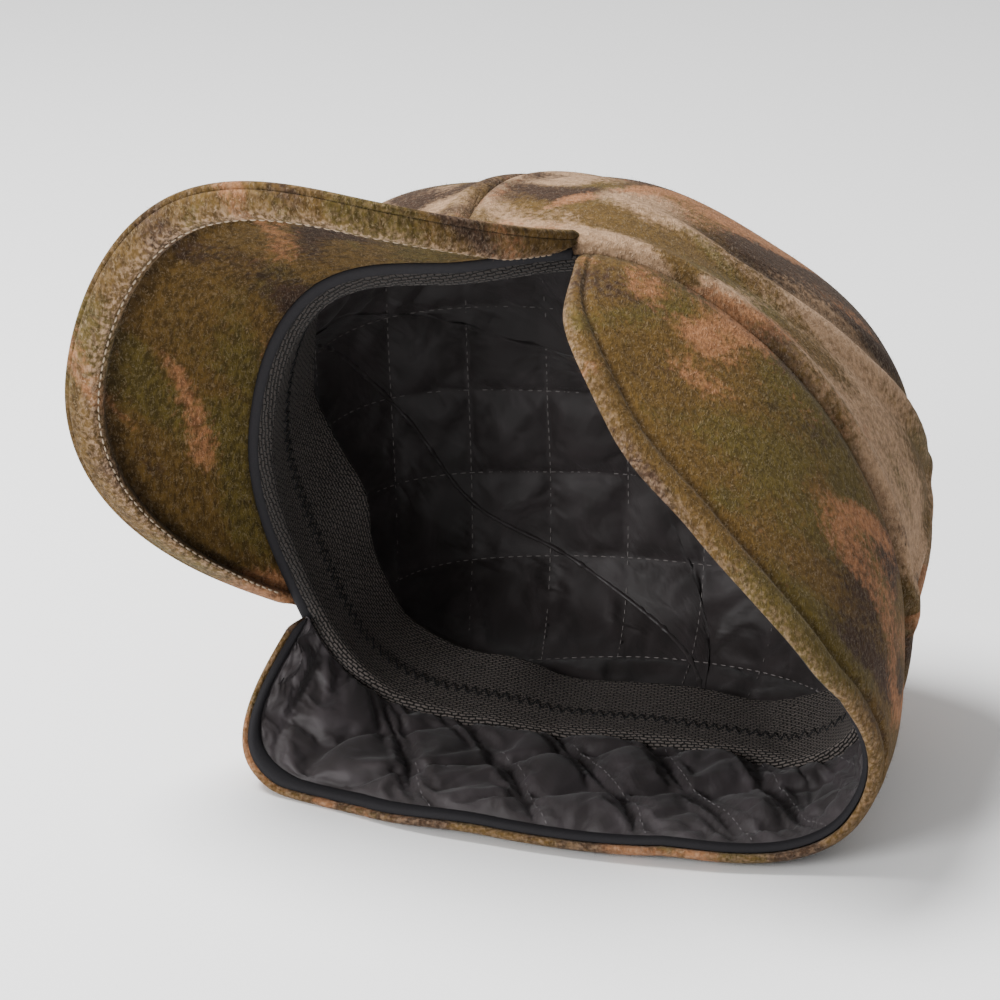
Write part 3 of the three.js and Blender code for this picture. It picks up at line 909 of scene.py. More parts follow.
def flap_piece(name, front, back, material, marks=None):
    uv = np.stack([lengths(front, 0)[:, -1:] + 0 * front[..., 0], lengths(front, 1)], -1) / 10
    return cloth_piece(name, front, back, uv, material, marks=marks)


place, distance, outer_face = flap_grid(wool_depth, shell_span)
_, _, inner_face = flap_grid(level_depth(WOOL), shell_span, cut=WOOL)
hem = np.linalg.norm(flap_rib(place), axis=-1) - distance
# Darker in the hem's groove and under the crown's overhang: painted shade. Lighter at the hem's rounded
# edge: partly wear and partly painted highlight.
shaded = ridge(hem, 0.45, 9.0, 1.4) + ridge(distance, 0.4, 0.0, 4.0)
marks = {"wear_and_highlight": ridge(hem, 0.30, 0.0, 3.0), "shaded": shaded}
flap_wool = flap_piece("flap_wool", outer_face, inner_face, wool_flap, marks)
belongs(flap_wool, "wool", "flap_shell")
wool_pieces.append(flap_wool)

# %% [markdown]
# The lining is nylon with a thin padding, sewn through in a diamond pattern. Between the lines it puffs
# up, along the lines it is drawn down, and the spare cloth makes folds. The puffs are shaped by rule, and
# then a cloth simulation with the sewn lines held gives the folds that a rule could not.

# %% Quilting helpers
LARGEST_STEP = 60.0


def puff(line_distance, edge_distance, height):
    line = 1 - np.exp(-line_distance / 3.2)
    edge = 1 - np.exp(-np.maximum(edge_distance, 0) / 3.0)
    return height * line * edge


def wrinkled(points, held, grow, push, frames=14, closed=False):
    columns, rows = points.shape[:2]
    scale = 0.01
    mesh = bpy.data.meshes.new("trial cloth")
    c, r = (g.ravel() for g in np.meshgrid(np.arange(columns - 1), np.arange(rows - 1), indexing="ij"))
    corner = c * rows + r
    beyond = (c + 1) % (columns - 1) * rows + r if closed else corner + rows
    skin = np.stack([corner, beyond, beyond + 1, corner + 1], -1)
    mesh.from_pydata((points.reshape(-1, 3) * scale).tolist(), [], skin.tolist())
    trial = bpy.data.objects.new("trial cloth", mesh)
    bpy.context.collection.objects.link(trial)
    group = trial.vertex_groups.new(name="held")
    group.add(np.flatnonzero(held.ravel()).tolist(), 1.0, "REPLACE")
    cloth = trial.modifiers.new("cloth", "CLOTH")
    cloth.settings.quality = 6
    cloth.settings.mass = 0.15
    cloth.settings.tension_stiffness = 12
    cloth.settings.compression_stiffness = 12
    cloth.settings.shear_stiffness = 4
    cloth.settings.bending_stiffness = 0.08
    cloth.settings.vertex_group_mass = "held"
    cloth.settings.pin_stiffness = 1.0
    cloth.settings.shrink_min = -grow
    cloth.settings.shrink_max = -grow
    cloth.settings.use_pressure = True
    cloth.settings.uniform_pressure_force = push
    cloth.settings.effector_weights.gravity = 0
    cloth.collision_settings.use_collision = False
    scene = bpy.context.scene
    for step in range(1, frames + 1):
        scene.frame_set(step)
    depsgraph = bpy.context.evaluated_depsgraph_get()
    result = trial.evaluated_get(depsgraph).to_mesh()
    moved = np.empty(len(result.vertices) * 3)
    result.vertices.foreach_get("co", moved)
    trial.evaluated_get(depsgraph).to_mesh_clear()
    bpy.data.objects.remove(trial)
    bpy.data.meshes.remove(mesh)
    scene.frame_set(1)
    moved = moved.reshape(points.shape) / scale
    if closed:
        moved[-1] = moved[0]
    return moved


def calmed(before, after, limit):
    step = after - before
    size = np.linalg.norm(step, axis=-1, keepdims=True)
    believable = size < LARGEST_STEP
    return before + step * np.minimum(1, limit / np.maximum(size, 1e-6)) * believable


print("quilting helpers ready")

# %% [markdown]
# The crown's lining has the same three panels as the wool. Two families of straight lines are laid out
# flat over the top of the head and run on over all three panels. The panels meet edge to edge with almost
# no room, and near their seams the cloth stays flat. The centre panel goes all the way round, so its
# trial cloth is joined to itself before the simulation. Otherwise it would open where it begins and ends.

# %% Crown lining
LINING_TOP = WOOL + GAP
LINING_DEPTH = LINING_TOP + QUILT
SEWN_IN, PUFF, THINNEST = 1.5, 2.4, 0.7

# Two families of sewn lines across the crown's lining: spacing, direction and start of each
CROWN_LINES = [
    {"step": 26.8, "turn": 48.8, "start": 1.816},
    {"step": 30.5, "turn": 137.0, "start": 0.640},
]
FLAP_LINES = [{"step": 27.5, "turn": 24.0, "start": 0.44}, {"step": 27.5, "turn": 114.0, "start": 0.0}]


def line_counts(first, second, lines):
    counts = []
    for line in lines:
        turn = math.radians(line["turn"])
        counts.append((first * math.cos(turn) + second * math.sin(turn)) / line["step"] + line["start"])
    return counts


def line_distance(first, second, lines):
    counts = line_counts(first, second, lines)
    return np.min([line["step"] * np.abs(n - np.round(n)) for n, line in zip(counts, lines)], 0)


def crown_flat(degrees, climb):
    points = crown_point(degrees, climb)
    top = crown_point(np.zeros_like(degrees), np.ones_like(climb))
    reach = np.linalg.norm(points - top, axis=-1, keepdims=True)
    flat = level(degrees) * reach
    return flat[..., 0], flat[..., 1]


def lining_piece(name, degrees, climb, closed):
    quilt = line_distance(*crown_flat(degrees, climb), CROWN_LINES)
    edge = distance_to(crown_point(degrees, climb), seam_paths)
    free = np.clip((climb - BAND_END + 0.01) / 0.08, 0.12, 1)
    front_depth = LINING_DEPTH - SEWN_IN + puff(quilt, 0.35 * edge, PUFF) * free
    front = crown_layer(degrees, climb, front_depth)
    back = crown_layer(degrees, climb, 0 * front_depth + LINING_TOP)
    held = (quilt < 0.7) | (edge < 0.8)
    held[:, [0, -1]] = True
    if not closed:
        held[[0, -1], :] = True
    settled = wrinkled(front, held, grow=0.03, push=-1.0, closed=closed)
    front = calmed(front, settled, PUFF * (free * (1 - hump(edge, 15.0)))[..., None])
    thinnest = crown_layer(degrees, climb, 0 * front_depth + LINING_TOP + THINNEST)
    lift = unit(thinnest - back)
    low = np.sum((front - thinnest) * lift, -1, keepdims=True)
    front = front + lift * np.maximum(-low, 0)
    uv = cloth_uv(degrees, climb, 3.0)
    return cloth_piece(name, front, back, uv, nylon, closed=closed, pole=closed, bulge=0.2)


BAND_START, BAND_END = 0.0036, 0.27
SIDE_LINING_GRID = (130, 70)
degrees, climb = centre_grid(CENTRE_COLUMNS, CENTRE_ROWS, LINING_CLEARANCE)
piece = lining_piece("centre_lining", degrees, climb, True)
belongs(piece, "quilted_nylon", "lining_centre_panel")
for label, sign in (("left", 1), ("right", -1)):
    degrees, climb = side_grid(sign, *SIDE_LINING_GRID, LINING_CLEARANCE)
    piece = lining_piece(f"{label}_lining", degrees, climb, False)
    belongs(piece, "quilted_nylon", f"lining_{label}_panel")

# %% [markdown]
# The flap's lining is quilted in the same way, and its folds are deeper, because the flap curves round
# the head while its lining is cut straight. A smooth black strip binds its free edge inside the wool.

# %% Flap lining and binding
STRIP = WOOL_EDGE + BINDING_WIDTH


def lining_span(width, start):
    return start, np.maximum(width - STRIP + 0.4, start + 0.8)


def strip_span(width, start):
    return np.maximum(width - STRIP, start + 0.8 + GAP), width - WOOL_EDGE


def drifted(run, distance):
    return 2.4 * np.sin(distance / 10 + run / 31), 2.0 * np.sin(run / 23)


def flap_lining_depth(place, distance, width):
    run = lengths(flap_point(place, 0 * place), 0)[:, :1] + 0 * place
    aside, down = drifted(run, distance)
    steep = line_distance(run + aside, distance + down, FLAP_LINES[:1])
    long = line_distance(run + aside, distance + down, FLAP_LINES[1:])
    edge = np.minimum(distance, width - STRIP - distance)
    # Spare cloth swells one diamond more than the next, and small gathers run across the sewn lines
    spare = 1 + 0.55 * np.sin(run / 9.3 + 2.1 * np.sin(distance / 13)) * np.cos(distance / 11 + run / 17)
    drawn = np.sin((0.8 * run + 0.6 * distance) / 1.4 + 3 * np.sin(run / 19) + 2 * np.sin(distance / 8))
    gathers = 0.45 * drawn * (hump(steep - 4, 4) + 0.5 * hump(long - 3, 3)) * (1 - np.exp(-steep / 2))
    depth = LINING_DEPTH - 1.4 + puff(steep, edge, 3.5) * spare * (1 - 0.55 * hump(long, 3.2)) + gathers
    return depth, steep, edge


LINING_COLUMNS, LINING_ROWS = 340, 58
FLAP_PUFF_LIMIT = 3.0
place, share = grid(flap_stations(LINING_COLUMNS), np.linspace(0, 1, LINING_ROWS))
width = np.linalg.norm(flap_rib(place), axis=-1)
start, end = lining_span(width, flap_start(place, 0 * place + LINING_TOP))
distance = start + (end - start) * share
depth, steep, edge = flap_lining_depth(place, distance, width)
front = flap_layer(place, distance, depth)
back = flap_layer(place, distance, 0 * depth + LINING_TOP)
held = (steep < 0.8) | (edge < 0.8)
held[[0, -1], :] = True
held[:, [0, -1]] = True
front = calmed(front, wrinkled(front, held, grow=0.09, push=1.1, frames=18), FLAP_PUFF_LIMIT)
lift = unit(flap_layer(place, distance, 0 * depth + LINING_TOP + 1) - back)
low = np.sum((front - back) * lift, -1, keepdims=True) - THINNEST
front = front + lift * np.maximum(-low, 0)
flap_lining_face = front
flap_lining = flap_piece("flap_quilting", front, back, lit_flap_nylon)
belongs(flap_lining, "quilted_nylon", "flap_lining")


def strip_depth(place, distance, width):
    across = (width - WOOL_EDGE - distance) / BINDING_WIDTH
    return LINING_TOP + 0.9 + 1.3 * np.sqrt(np.clip(4 * across * (1 - across), 0, 1))


_, _, strip_face = flap_grid(strip_depth, strip_span, rows=12, cut=LINING_TOP)
_, _, strip_back = flap_grid(level_depth(LINING_TOP), strip_span, rows=12, cut=LINING_TOP)
strip = flap_piece("flap_edge_strip", strip_face, strip_back, tape)
belongs(strip, "tape", "flap_binding")

# %% [markdown]
# The sweatband is a knitted band. Its lower edge curls under the crown's rim and hides the cut edges of
# wool and lining. From there it stands up inside, and its free upper edge waves a little, as a soft band
# does. One curve from the curl to the free edge, swept round the rim, gives the whole band. A narrow
# black tape covers the joint of peak and crown from one corner of the peak to the other.

# %% Sweatband and front tape
BAND_TOP = WOOL + QUILT + 2.5 * GAP
CURL_SHARE = 0.16
CURL_INSET, LEAST_LEAN = 2.6, 1.5

# Where the curl comes further out and where the band leans in: by how much, at which degrees, how widely
CURL_OUT, LEAN_IN = (1.6, 281, 12), (12, 302, 26)


def band_wave(degrees, share):
    turn = np.radians(degrees)
    long_wave = np.sin(7 * turn + 1) * 0.8 + np.sin(12 * turn + 0.4) * 0.6
    return (long_wave + np.sin(19 * turn + 2.2 * share) * 0.4) * share**2


def band_surface(degrees, share, thick):
    _, out = rim_directions(degrees)
    curl = np.clip(share / CURL_SHARE, 0, 1)
    first = CURL_INSET - ridge(np.mod(degrees, 360), *CURL_OUT)
    inset = first + (BAND_TOP + thick - 0.5 - first) * curl
    drop = (0.5 + 0.5 * thick)[..., None] * np.array([0, 0, 1])
    under = lay(rim_point(degrees) - out * inset[..., None] - drop)
    up = np.clip((share - CURL_SHARE) / (1 - CURL_SHARE), 0, 1)
    lean = LEAST_LEAN + ridge(np.mod(degrees, 360), *LEAN_IN)
    stand = BAND_TOP + thick + lean * up**1.6 + band_wave(degrees, up)
    wall = crown_layer(degrees, BAND_START + (BAND_END - BAND_START) * up, stand)
    return under + (wall - under) * np.clip((share / CURL_SHARE - 0.7) / 0.6, 0, 1)[..., None]


degrees, share = grid(np.linspace(0, 360, 361), np.linspace(0, 1, 40))
face = band_surface(degrees, share, 0 * share + KNIT)
behind = band_surface(degrees, share, 0 * share)
uv = np.stack([lengths(face, 0)[:, 12:13] + 0 * degrees, lengths(face, 1)], -1) / 10
turn = np.abs(np.where(degrees > 180, degrees - 360, degrees))
in_fold = hump(np.maximum(share - 0.12, 0), 0.08) * np.clip((85 - turn) / 20, 0, 1)
towards_front = np.clip((80 - turn) / 30, 0, 1)
marks = {"shaded": np.maximum(0.8 * in_fold, 0.35 * towards_front)}
sweatband = cloth_piece("knitted_sweatband", face, behind, uv, knit, closed=True, marks=marks)
belongs(sweatband, "knit", "sweatband")

TAPE_MIDDLE, TAPE_HALF, TAPE_THICK = 1.9, 1.75, 0.9
degrees, inset = grid(np.linspace(-PEAK_RIGHT - 2.5, PEAK_LEFT - 1, 120), np.linspace(0.2, 3.6, 10))
_, out = rim_directions(degrees)
rim = rim_point(degrees) - out * inset[..., None]
bowed = np.sqrt(np.clip(1 - ((inset - TAPE_MIDDLE) / TAPE_HALF) ** 2, 0, 1))
low = lay(rim - np.array([0, 0, 1]) * (TAPE_THICK + TAPE_THICK * bowed)[..., None])
high = lay(rim - np.array([0, 0, 0.2]))
uv = np.stack([degrees / 10, inset / 10], -1)
front_tape = cloth_piece("front_tape", low, high, uv, tape)
belongs(front_tape, "tape", "front_binding")

# %% [markdown]
# Every sewn line follows a path, so three node trees make them all. The first walks along the path in
# equal steps and sets one short rounded stitch at each step, turned along the path. It serves the
# quilting and the peak, with other sizes and threads. The second sweeps a ring of uneven size along the
# path, for the rolled seams between the linings. The third swings the path from side to side, for a
# zigzag. Each tree ends in plain mesh with its material set.

# %% Node trees for stitches and seams


def new_geometry_tree(name, inputs):
    tree = bpy.data.node_groups.new(name, "GeometryNodeTree")
    tree.interface.new_socket("Source", in_out="INPUT", socket_type="NodeSocketGeometry")
    for title, kind, value in inputs:
        socket = tree.interface.new_socket(title, in_out="INPUT", socket_type=kind)
        if value is not None:
            socket.default_value = value
    tree.interface.new_socket("Made", in_out="OUTPUT", socket_type="NodeSocketGeometry")
    return tree, tree.nodes.new("NodeGroupInput"), tree.nodes.new("NodeGroupOutput")


def finished_tree(tree, start, end, geometry, material_name):
    realized = node(tree, "GeometryNodeRealizeInstances")
    tree.links.new(geometry, realized.inputs[0])
    painted = node(tree, "GeometryNodeSetMaterial")
    tree.links.new(realized.outputs[0], painted.inputs["Geometry"])
    tree.links.new(start.outputs[material_name], painted.inputs["Material"])
    tree.links.new(painted.outputs[0], end.inputs[0])
    return tree


def stitch_tree():
    inputs = [("Pitch", "NodeSocketFloat", 0.003), ("Length", "NodeSocketFloat", 0.002)]
    inputs += [("Thickness", "NodeSocketFloat", 0.0004), ("Thread", "NodeSocketMaterial", None)]
    tree, start, end = new_geometry_tree("row of stitches", inputs)
    curve = node(tree, "GeometryNodeMeshToCurve")
    tree.links.new(start.outputs["Source"], curve.inputs[0])
    steps = node(tree, "GeometryNodeResampleCurve", mode="LENGTH")
    tree.links.new(curve.outputs[0], steps.inputs["Curve"])
    tree.links.new(start.outputs["Pitch"], steps.inputs["Length"])
    ball = node(tree, "GeometryNodeMeshUVSphere")
    ball.inputs["Segments"].default_value = 6
    ball.inputs["Rings"].default_value = 5
    ball.inputs["Radius"].default_value = 0.5
    size = node(tree, "ShaderNodeCombineXYZ")
    tree.links.new(start.outputs["Thickness"], size.inputs["X"])
    tree.links.new(start.outputs["Thickness"], size.inputs["Y"])
    tree.links.new(start.outputs["Length"], size.inputs["Z"])
    tangent = node(tree, "GeometryNodeInputTangent")
    aligned = node(tree, "FunctionNodeAlignRotationToVector", axis="Z")
    tree.links.new(tangent.outputs[0], aligned.inputs["Vector"])
    placed = node(tree, "GeometryNodeInstanceOnPoints")
    tree.links.new(steps.outputs[0], placed.inputs["Points"])
    tree.links.new(ball.outputs[0], placed.inputs["Instance"])
    tree.links.new(aligned.outputs[0], placed.inputs["Rotation"])
    tree.links.new(size.outputs[0], placed.inputs["Scale"])
    return finished_tree(tree, start, end, placed.outputs[0], "Thread")


def seam_tree():
    inputs = [("Thickness", "NodeSocketFloat", 0.0014), ("Pucker", "NodeSocketFloat", 0.001)]
    inputs += [("Thread", "NodeSocketMaterial", None)]
    tree, start, end = new_geometry_tree("rolled seam", inputs)
    curve = node(tree, "GeometryNodeMeshToCurve")
    tree.links.new(start.outputs["Source"], curve.inputs[0])
    steps = node(tree, "GeometryNodeResampleCurve", mode="LENGTH")
    tree.links.new(curve.outputs[0], steps.inputs["Curve"])
    steps.inputs["Length"].default_value = 0.001
    pucker = node(tree, "ShaderNodeTexNoise")
    pucker.inputs["Scale"].default_value = 330.0
    tree.links.new(node(tree, "GeometryNodeInputPosition").outputs[0], pucker.inputs["Vector"])
    uneven = maths(tree, "SUBTRACT", pucker.outputs["Fac"], 0.5)
    share = maths(tree, "DIVIDE", start.outputs["Pucker"], start.outputs["Thickness"])
    swell = maths(tree, "MULTIPLY_ADD", uneven, maths(tree, "MULTIPLY", share, 2.0), 1.0)
    ring = node(tree, "GeometryNodeCurvePrimitiveCircle")
    ring.inputs["Resolution"].default_value = 8
    tree.links.new(maths(tree, "MULTIPLY", start.outputs["Thickness"], 0.5), ring.inputs["Radius"])
    roll = node(tree, "GeometryNodeCurveToMesh")
    tree.links.new(steps.outputs[0], roll.inputs["Curve"])
    tree.links.new(ring.outputs[0], roll.inputs["Profile Curve"])
    tree.links.new(swell, roll.inputs["Scale"])
    roll.inputs["Fill Caps"].default_value = True
    return finished_tree(tree, start, end, roll.outputs[0], "Thread")


def zigzag_tree():
    inputs = [("Pitch", "NodeSocketFloat", 0.003), ("Swing", "NodeSocketFloat", 0.002)]
    inputs += [("Thickness", "NodeSocketFloat", 0.0006), ("Thread", "NodeSocketMaterial", None)]
    tree, start, end = new_geometry_tree("zigzag stitch", inputs)
    curve = node(tree, "GeometryNodeMeshToCurve")
    tree.links.new(start.outputs["Source"], curve.inputs[0])
    steps = node(tree, "GeometryNodeResampleCurve", mode="LENGTH")
    tree.links.new(curve.outputs[0], steps.inputs["Curve"])
    half = maths(tree, "MULTIPLY", start.outputs["Pitch"], 0.5)
    tree.links.new(half, steps.inputs["Length"])
    side = node(tree, "GeometryNodeInputNamedAttribute", data_type="FLOAT_VECTOR")
    side.inputs["Name"].default_value = "across"
    odd = maths(tree, "MODULO", node(tree, "GeometryNodeInputIndex").outputs[0], 2.0)
    swing = maths(tree, "MULTIPLY", maths(tree, "SUBTRACT", odd, 0.5), start.outputs["Swing"])
    move = node(tree, "ShaderNodeVectorMath", operation="SCALE")
    tree.links.new(side.outputs["Attribute"], move.inputs[0])
    tree.links.new(swing, move.inputs["Scale"])
    moved = node(tree, "GeometryNodeSetPosition")
    tree.links.new(steps.outputs[0], moved.inputs["Geometry"])
    tree.links.new(move.outputs[0], moved.inputs["Offset"])
    ring = node(tree, "GeometryNodeCurvePrimitiveCircle")
    ring.inputs["Resolution"].default_value = 6
    radius = maths(tree, "MULTIPLY", start.outputs["Thickness"], 0.5)
    tree.links.new(radius, ring.inputs["Radius"])
    thread = node(tree, "GeometryNodeCurveToMesh")
    tree.links.new(moved.outputs[0], thread.inputs["Curve"])
    tree.links.new(ring.outputs[0], thread.inputs["Profile Curve"])
    return finished_tree(tree, start, end, thread.outputs[0], "Thread")


def run_tree(name, tree, source, values):
    modifier = source.modifiers.new(name, "NODES")
    modifier.node_group = tree
    for item in tree.interface.items_tree:
        if item.in_out == "INPUT" and item.name in values:
            modifier[item.identifier] = values[item.name]
    depsgraph = bpy.context.evaluated_depsgraph_get()
    mesh = bpy.data.meshes.new_from_object(source.evaluated_get(depsgraph))
    mesh.name = name
    source.modifiers.remove(modifier)
    made = bpy.data.objects.new(name, mesh)
    bpy.context.collection.objects.link(made)
    return made


def path_object(paths, across=None):
    mesh = bpy.data.meshes.new("sewing path")
    vertices, edges = [], []
    for path in paths:
        first = len(vertices)
        vertices += (path * METRE).tolist()
        edges += [(first + i, first + i + 1) for i in range(len(path) - 1)]
    mesh.from_pydata(vertices, edges, [])
    if across is not None:
        layer = mesh.attributes.new("across", "FLOAT_VECTOR", "POINT")
        layer.data.foreach_set("vector", across.astype(np.float32).ravel())
    holder = bpy.data.objects.new("sewing path", mesh)
    bpy.context.collection.objects.link(holder)
    return holder


def sewn(name, paths, slot, thread, tree, across=None, **sizes):
    holder = path_object(paths, across)
    values = {title: size * METRE for title, size in sizes.items()}
    piece = run_tree(name, tree, holder, {**values, "Thread": thread})
    bpy.data.objects.remove(holder)
    for polygon in piece.data.polygons:
        polygon.use_smooth = True
    belongs(piece, slot)
    return piece


row_of_stitches = stitch_tree()
rolled_seam = seam_tree()
zigzag = zigzag_tree()
print("sewing trees:", row_of_stitches.name, rolled_seam.name, zigzag.name)

# %% [markdown]
# The quilting lines are straight on the flat cloth. Each one is walked in steps on the flat cloth, and
# every step is then looked up on the curved lining. What would lie under the sweatband is left out. The
# seams between the three linings are thin rolls that swell and pucker a little along their way.

# %% Stitches of the quilting
SEWN_DEPTH = LINING_DEPTH - 1.2
CLIMB_TABLE = np.linspace(0, 1, 300)


def pieces_of(points, keep):
    runs = []
    for run in np.split(np.arange(len(keep)), np.flatnonzero(np.diff(keep.astype(int))) + 1):
        if keep[run[0]] and len(run) > 5:
            runs.append(points[run])
    return runs


def crown_lines(line):
    turn = math.radians(line["turn"])
    along_line = np.arange(-190, 190, 1.0)
    top = crown_point(np.array(0.0), np.array(1.0))
    paths = []
    for count in range(-8, 9):
        across = (count - line["start"]) * line["step"]
        u = across * math.cos(turn) - along_line * math.sin(turn)
        v = across * math.sin(turn) + along_line * math.cos(turn)
        degrees = np.degrees(np.arctan2(u, -v)) % 360
        wall = crown_point(degrees[:, None] + 0 * CLIMB_TABLE, 0 * degrees[:, None] + CLIMB_TABLE)
        reach = np.linalg.norm(wall - top, axis=-1)
        wanted = np.hypot(u, v)
        climb = np.array([np.interp(-w, -r, CLIMB_TABLE) for w, r in zip(wanted, reach)])
        points = crown_layer(degrees, climb, 0 * climb + SEWN_DEPTH)
        seam = distance_to(crown_point(degrees, climb), seam_paths)
        keep = (wanted < reach[:, 0]) & (climb > BAND_END - 0.02) & (seam > 1.5)
        paths += pieces_of(points, keep)
    return paths


quilt_sizes = {"Pitch": 3.0, "Length": 2.0, "Thickness": 0.42}
for number, line in enumerate(CROWN_LINES):
    paths = crown_lines(line)
    name = f"crown_quilting_{number + 1}"
    sewn(name, paths, "quilted_nylon", grey_thread, row_of_stitches, **quilt_sizes)

seam_runs = []
for sign in (1, -1):
    share = np.linspace(-1, 1, 300)
    turn = SEAM_MIDDLE + SEAM_HALF * np.sin(np.pi / 2 * share)
    climb = seam_climb(turn)
    on_seam = crown_layer(sign * turn, climb, 0 * climb + LINING_TOP + 0.9)
    seam_runs += pieces_of(on_seam, climb > BAND_START + 0.02)
roll_sizes = {"Thickness": 1.9, "Pucker": 1.5}
sewn("lining_seam_rolls", seam_runs, "quilted_nylon", nylon, rolled_seam, **roll_sizes)


def on_flap_lining(place, distance):
    width = np.linalg.norm(flap_rib(place), axis=-1)
    start, end = lining_span(width, flap_start(place, 0 * place + LINING_TOP))
    stations = flap_stations(LINING_COLUMNS)
    column = np.clip(np.interp(place, stations, np.arange(LINING_COLUMNS)), 0, LINING_COLUMNS - 1.01)
    row = np.clip((distance - start) / (end - start) * (LINING_ROWS - 1), 0, LINING_ROWS - 1.01)
    c, r = np.floor(column).astype(int), np.floor(row).astype(int)
    f, g = (column - c)[:, None], (row - r)[:, None]
    face = flap_lining_face
    near = face[c, r] * (1 - g) + face[c, r + 1] * g
    far = face[c + 1, r] * (1 - g) + face[c + 1, r + 1] * g
    return near * (1 - f) + far * f, end - distance


def flap_lines(line):
    turn = math.radians(line["turn"])
    places = np.linspace(0, 1, 1200)
    run = lengths(flap_point(places[:, None], 0 * places[:, None]), 0)[:, 0]
    walk = np.arange(-120, 620, 1.0)
    paths = []
    for count in range(-20, 24):
        across = (count - line["start"]) * line["step"]
        first = across * math.cos(turn) - walk * math.sin(turn)
        second = across * math.sin(turn) + walk * math.cos(turn)
        aside, down = drifted(first, second)
        place = np.interp(first - aside, run, places)
        second = second - down
        points, room = on_flap_lining(place, np.clip(second, 0.5, 90))
        inside = (second > 2.5) & (room > 1) & (place > 0.012) & (place < 0.988)
        paths += pieces_of(points, inside)
    return paths


paths = flap_lines(FLAP_LINES[0]) + flap_lines(FLAP_LINES[1])
sewn("flap_quilting_stitches", paths, "quilted_nylon", flap_thread, row_of_stitches, **quilt_sizes)

# %% [markdown]
# The peak's border is held by one row of light stitches, and the sweatband by a black zigzag.

# %% Stitches of the peak and the sweatband
side, _ = grid(np.sin(np.linspace(-1, 1, 400) * np.pi / 2 * 0.9) * 0.985, np.zeros(1))
length = peak_length(side)
reach = np.maximum(length - STITCHES_IN, 0.5)
row = peak_layer(side, reach, under_height(side, reach, length) - 0.3)[:, 0]
keep = (length[:, 0] > 14) & (reach[:, 0] > 4)
sizes = {"Pitch": 2.8, "Length": 2.2, "Thickness": 0.7}
sewn("peak_border_stitches", pieces_of(row, keep), "wool", wool_thread, row_of_stitches, **sizes)

ZIGZAG_BETWEEN = np.array([0.42, 0.48])
degrees, share = grid(np.linspace(0, 360, 721), ZIGZAG_BETWEEN)
low_high = band_surface(degrees, share, 0 * share + KNIT + 0.1)
middle = low_high.mean(1)
across = unit(low_high[:, 1] - low_high[:, 0])
sizes = {"Pitch": 3.4, "Swing": 4.4, "Thickness": 0.75}
sewn("sweatband_zigzag", [middle], "knit", dark_thread, zigzag, across, **sizes)

# %% [markdown]
# Felted wool is never quite smooth: loose fibres stand up from it and blur its outline. A node tree
# scatters short thin cones over every wool piece, each leaning its own way. The seed is fixed, so every
# run gives the same nap.

# %% Nap of the wool


def nap_tree():
    inputs = [("Density", "NodeSocketFloat", 1e5), ("Length", "NodeSocketFloat", 0.0015)]
    inputs += [("Thickness", "NodeSocketFloat", 0.0001), ("Lean", "NodeSocketFloat", 1.0)]
    inputs += [("Seed", "NodeSocketInt", 3), ("Wool", "NodeSocketMaterial", None)]
    tree, start, end = new_geometry_tree("standing fibres", inputs)
    spread = node(tree, "GeometryNodeDistributePointsOnFaces")
    tree.links.new(start.outputs["Source"], spread.inputs["Mesh"])
    tree.links.new(start.outputs["Density"], spread.inputs["Density"])
    tree.links.new(start.outputs["Seed"], spread.inputs["Seed"])
    fibre = node(tree, "GeometryNodeMeshCone", fill_type="NONE")
    fibre.inputs["Vertices"].default_value = 3
    fibre.inputs["Radius Top"].default_value = 0.1
    fibre.inputs["Radius Bottom"].default_value = 0.5
    fibre.inputs["Depth"].default_value = 1.0
    lean = node(tree, "FunctionNodeRandomValue", data_type="FLOAT_VECTOR")
    least = maths(tree, "MULTIPLY", start.outputs["Lean"], -1.0)
    tree.links.new(least, lean.inputs[0])
    tree.links.new(start.outputs["Lean"], lean.inputs[1])
    tree.links.new(start.outputs["Seed"], lean.inputs["Seed"])
    turn = node(tree, "FunctionNodeRotateRotation", rotation_space="LOCAL")
    tree.links.new(spread.outputs["Rotation"], turn.inputs[0])
    tree.links.new(lean.outputs[0], turn.inputs[1])
    grow = node(tree, "FunctionNodeRandomValue", data_type="FLOAT")
    grow.inputs[2].default_value = 0.4
    grow.inputs[3].default_value = 1.3
    size = node(tree, "ShaderNodeCombineXYZ")
    tree.links.new(start.outputs["Thickness"], size.inputs["X"])
    tree.links.new(start.outputs["Thickness"], size.inputs["Y"])
    tree.links.new(maths(tree, "MULTIPLY", grow.outputs[1], start.outputs["Length"]), size.inputs["Z"])
    placed = node(tree, "GeometryNodeInstanceOnPoints")
    tree.links.new(spread.outputs["Points"], placed.inputs["Points"])
    tree.links.new(fibre.outputs["Mesh"], placed.inputs["Instance"])
    tree.links.new(turn.outputs[0], placed.inputs["Rotation"])
    tree.links.new(size.outputs[0], placed.inputs["Scale"])
    return finished_tree(tree, start, end, placed.outputs[0], "Wool")


standing_fibres = nap_tree()
for number, cloth in enumerate(wool_pieces):
    values = {"Density": 1.1e5, "Length": 0.0013, "Thickness": 0.00005, "Lean": 1.0}
    values.update({"Seed": number + 1, "Wool": cloth.data.materials[0]})
    nap = run_tree(cloth.name + "_nap", standing_fibres, cloth, values)
    places = np.empty(len(nap.data.vertices) * 3)
    nap.data.vertices.foreach_get("co", places)
    places[2::3] = np.maximum(places[2::3], 0)
    nap.data.vertices.foreach_set("co", places)
    belongs(nap, "wool")

# %% [markdown]

# %% [markdown]
# The floor is a plain pale sheet, the light is soft and comes from above, and the camera looks into the
# cap from a little above the floor, with a long lens.

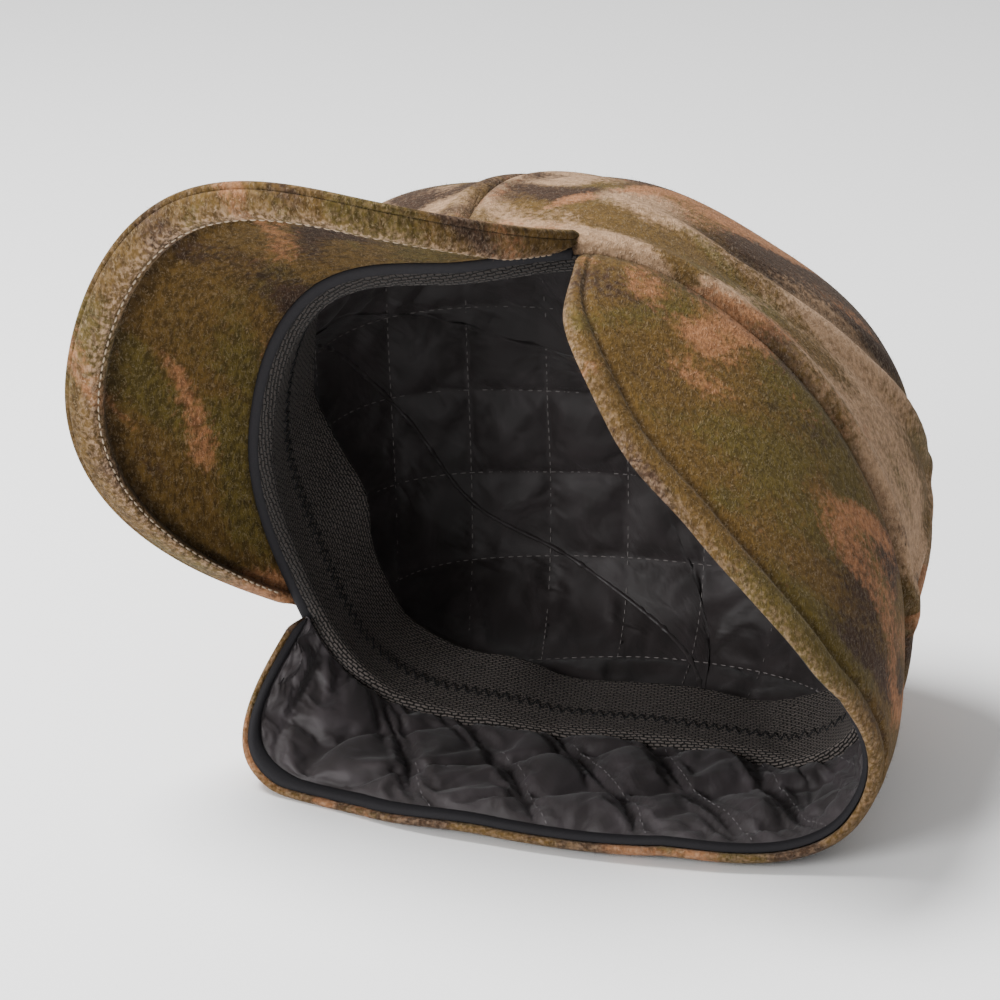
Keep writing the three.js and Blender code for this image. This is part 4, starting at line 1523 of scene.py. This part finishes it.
# %% Floor, light and camera
floor_mesh = bpy.data.meshes.new("floor")
floor_mesh.from_pydata([(-4, -4, 0), (4, -4, 0), (4, 4, 0), (-4, 4, 0)], [], [(0, 1, 2, 3)])
floor = bpy.data.objects.new("floor", floor_mesh)
bpy.context.collection.objects.link(floor)
floor_material, _, floor_shader = principled("pale floor", 0.9)
floor_shader.inputs["Base Color"].default_value = (0.92, 0.92, 0.92, 1)
floor.data.materials.append(floor_material)


def soft_light(name, place, aim, size, power):
    data = bpy.data.lights.new(name, "AREA")
    data.shape = "DISK"
    data.size = size
    data.energy = power
    lamp = bpy.data.objects.new(name, data)
    lamp.location = place
    lamp.rotation_euler = (Vector(aim) - Vector(place)).to_track_quat("-Z", "Y").to_euler()
    bpy.context.collection.objects.link(lamp)


soft_light("overhead light", (-0.55, 0.1, 1.3), (0, 0, 0.1), 0.7, 44)
soft_light("side light", (-1.1, -1.2, 0.7), (0, 0, 0.1), 0.7, 26)
world = bpy.data.worlds.new("pale room")
world.use_nodes = True
world.node_tree.nodes["Background"].inputs["Color"].default_value = (1, 1, 1, 1)
world.node_tree.nodes["Background"].inputs["Strength"].default_value = 0.55
bpy.context.scene.world = world

CAMERA_DISTANCE = 1150.0
CAMERA_RISE = math.radians(20.86)
PIXELS_PER_MM = 3.3
PICTURE_PIXELS = 1000
SENSOR_WIDTH = 36
AIM_RIGHT_PIXELS, AIM_UP_PIXELS = -66.7, 11.9
eye = MOVE + CAMERA_DISTANCE * np.array([0, -math.cos(CAMERA_RISE), math.sin(CAMERA_RISE)])
aside = np.array([1, 0, 0]) * (AIM_RIGHT_PIXELS / PIXELS_PER_MM)
above = np.array([0, math.sin(CAMERA_RISE), math.cos(CAMERA_RISE)]) * (AIM_UP_PIXELS / PIXELS_PER_MM)
aim = MOVE + aside + above
camera_data = bpy.data.cameras.new("camera")
camera_data.sensor_width = SENSOR_WIDTH
camera_data.lens = SENSOR_WIDTH * PIXELS_PER_MM * CAMERA_DISTANCE / PICTURE_PIXELS
camera_data.clip_start = 0.05
camera_data.clip_end = 20
camera = bpy.data.objects.new("camera", camera_data)
camera.location = eye * METRE
camera.rotation_euler = Vector(aim - eye).to_track_quat("-Z", "Y").to_euler()
bpy.context.collection.objects.link(camera)
bpy.context.scene.camera = camera
print("camera rise in degrees:", round(math.degrees(CAMERA_RISE), 1))
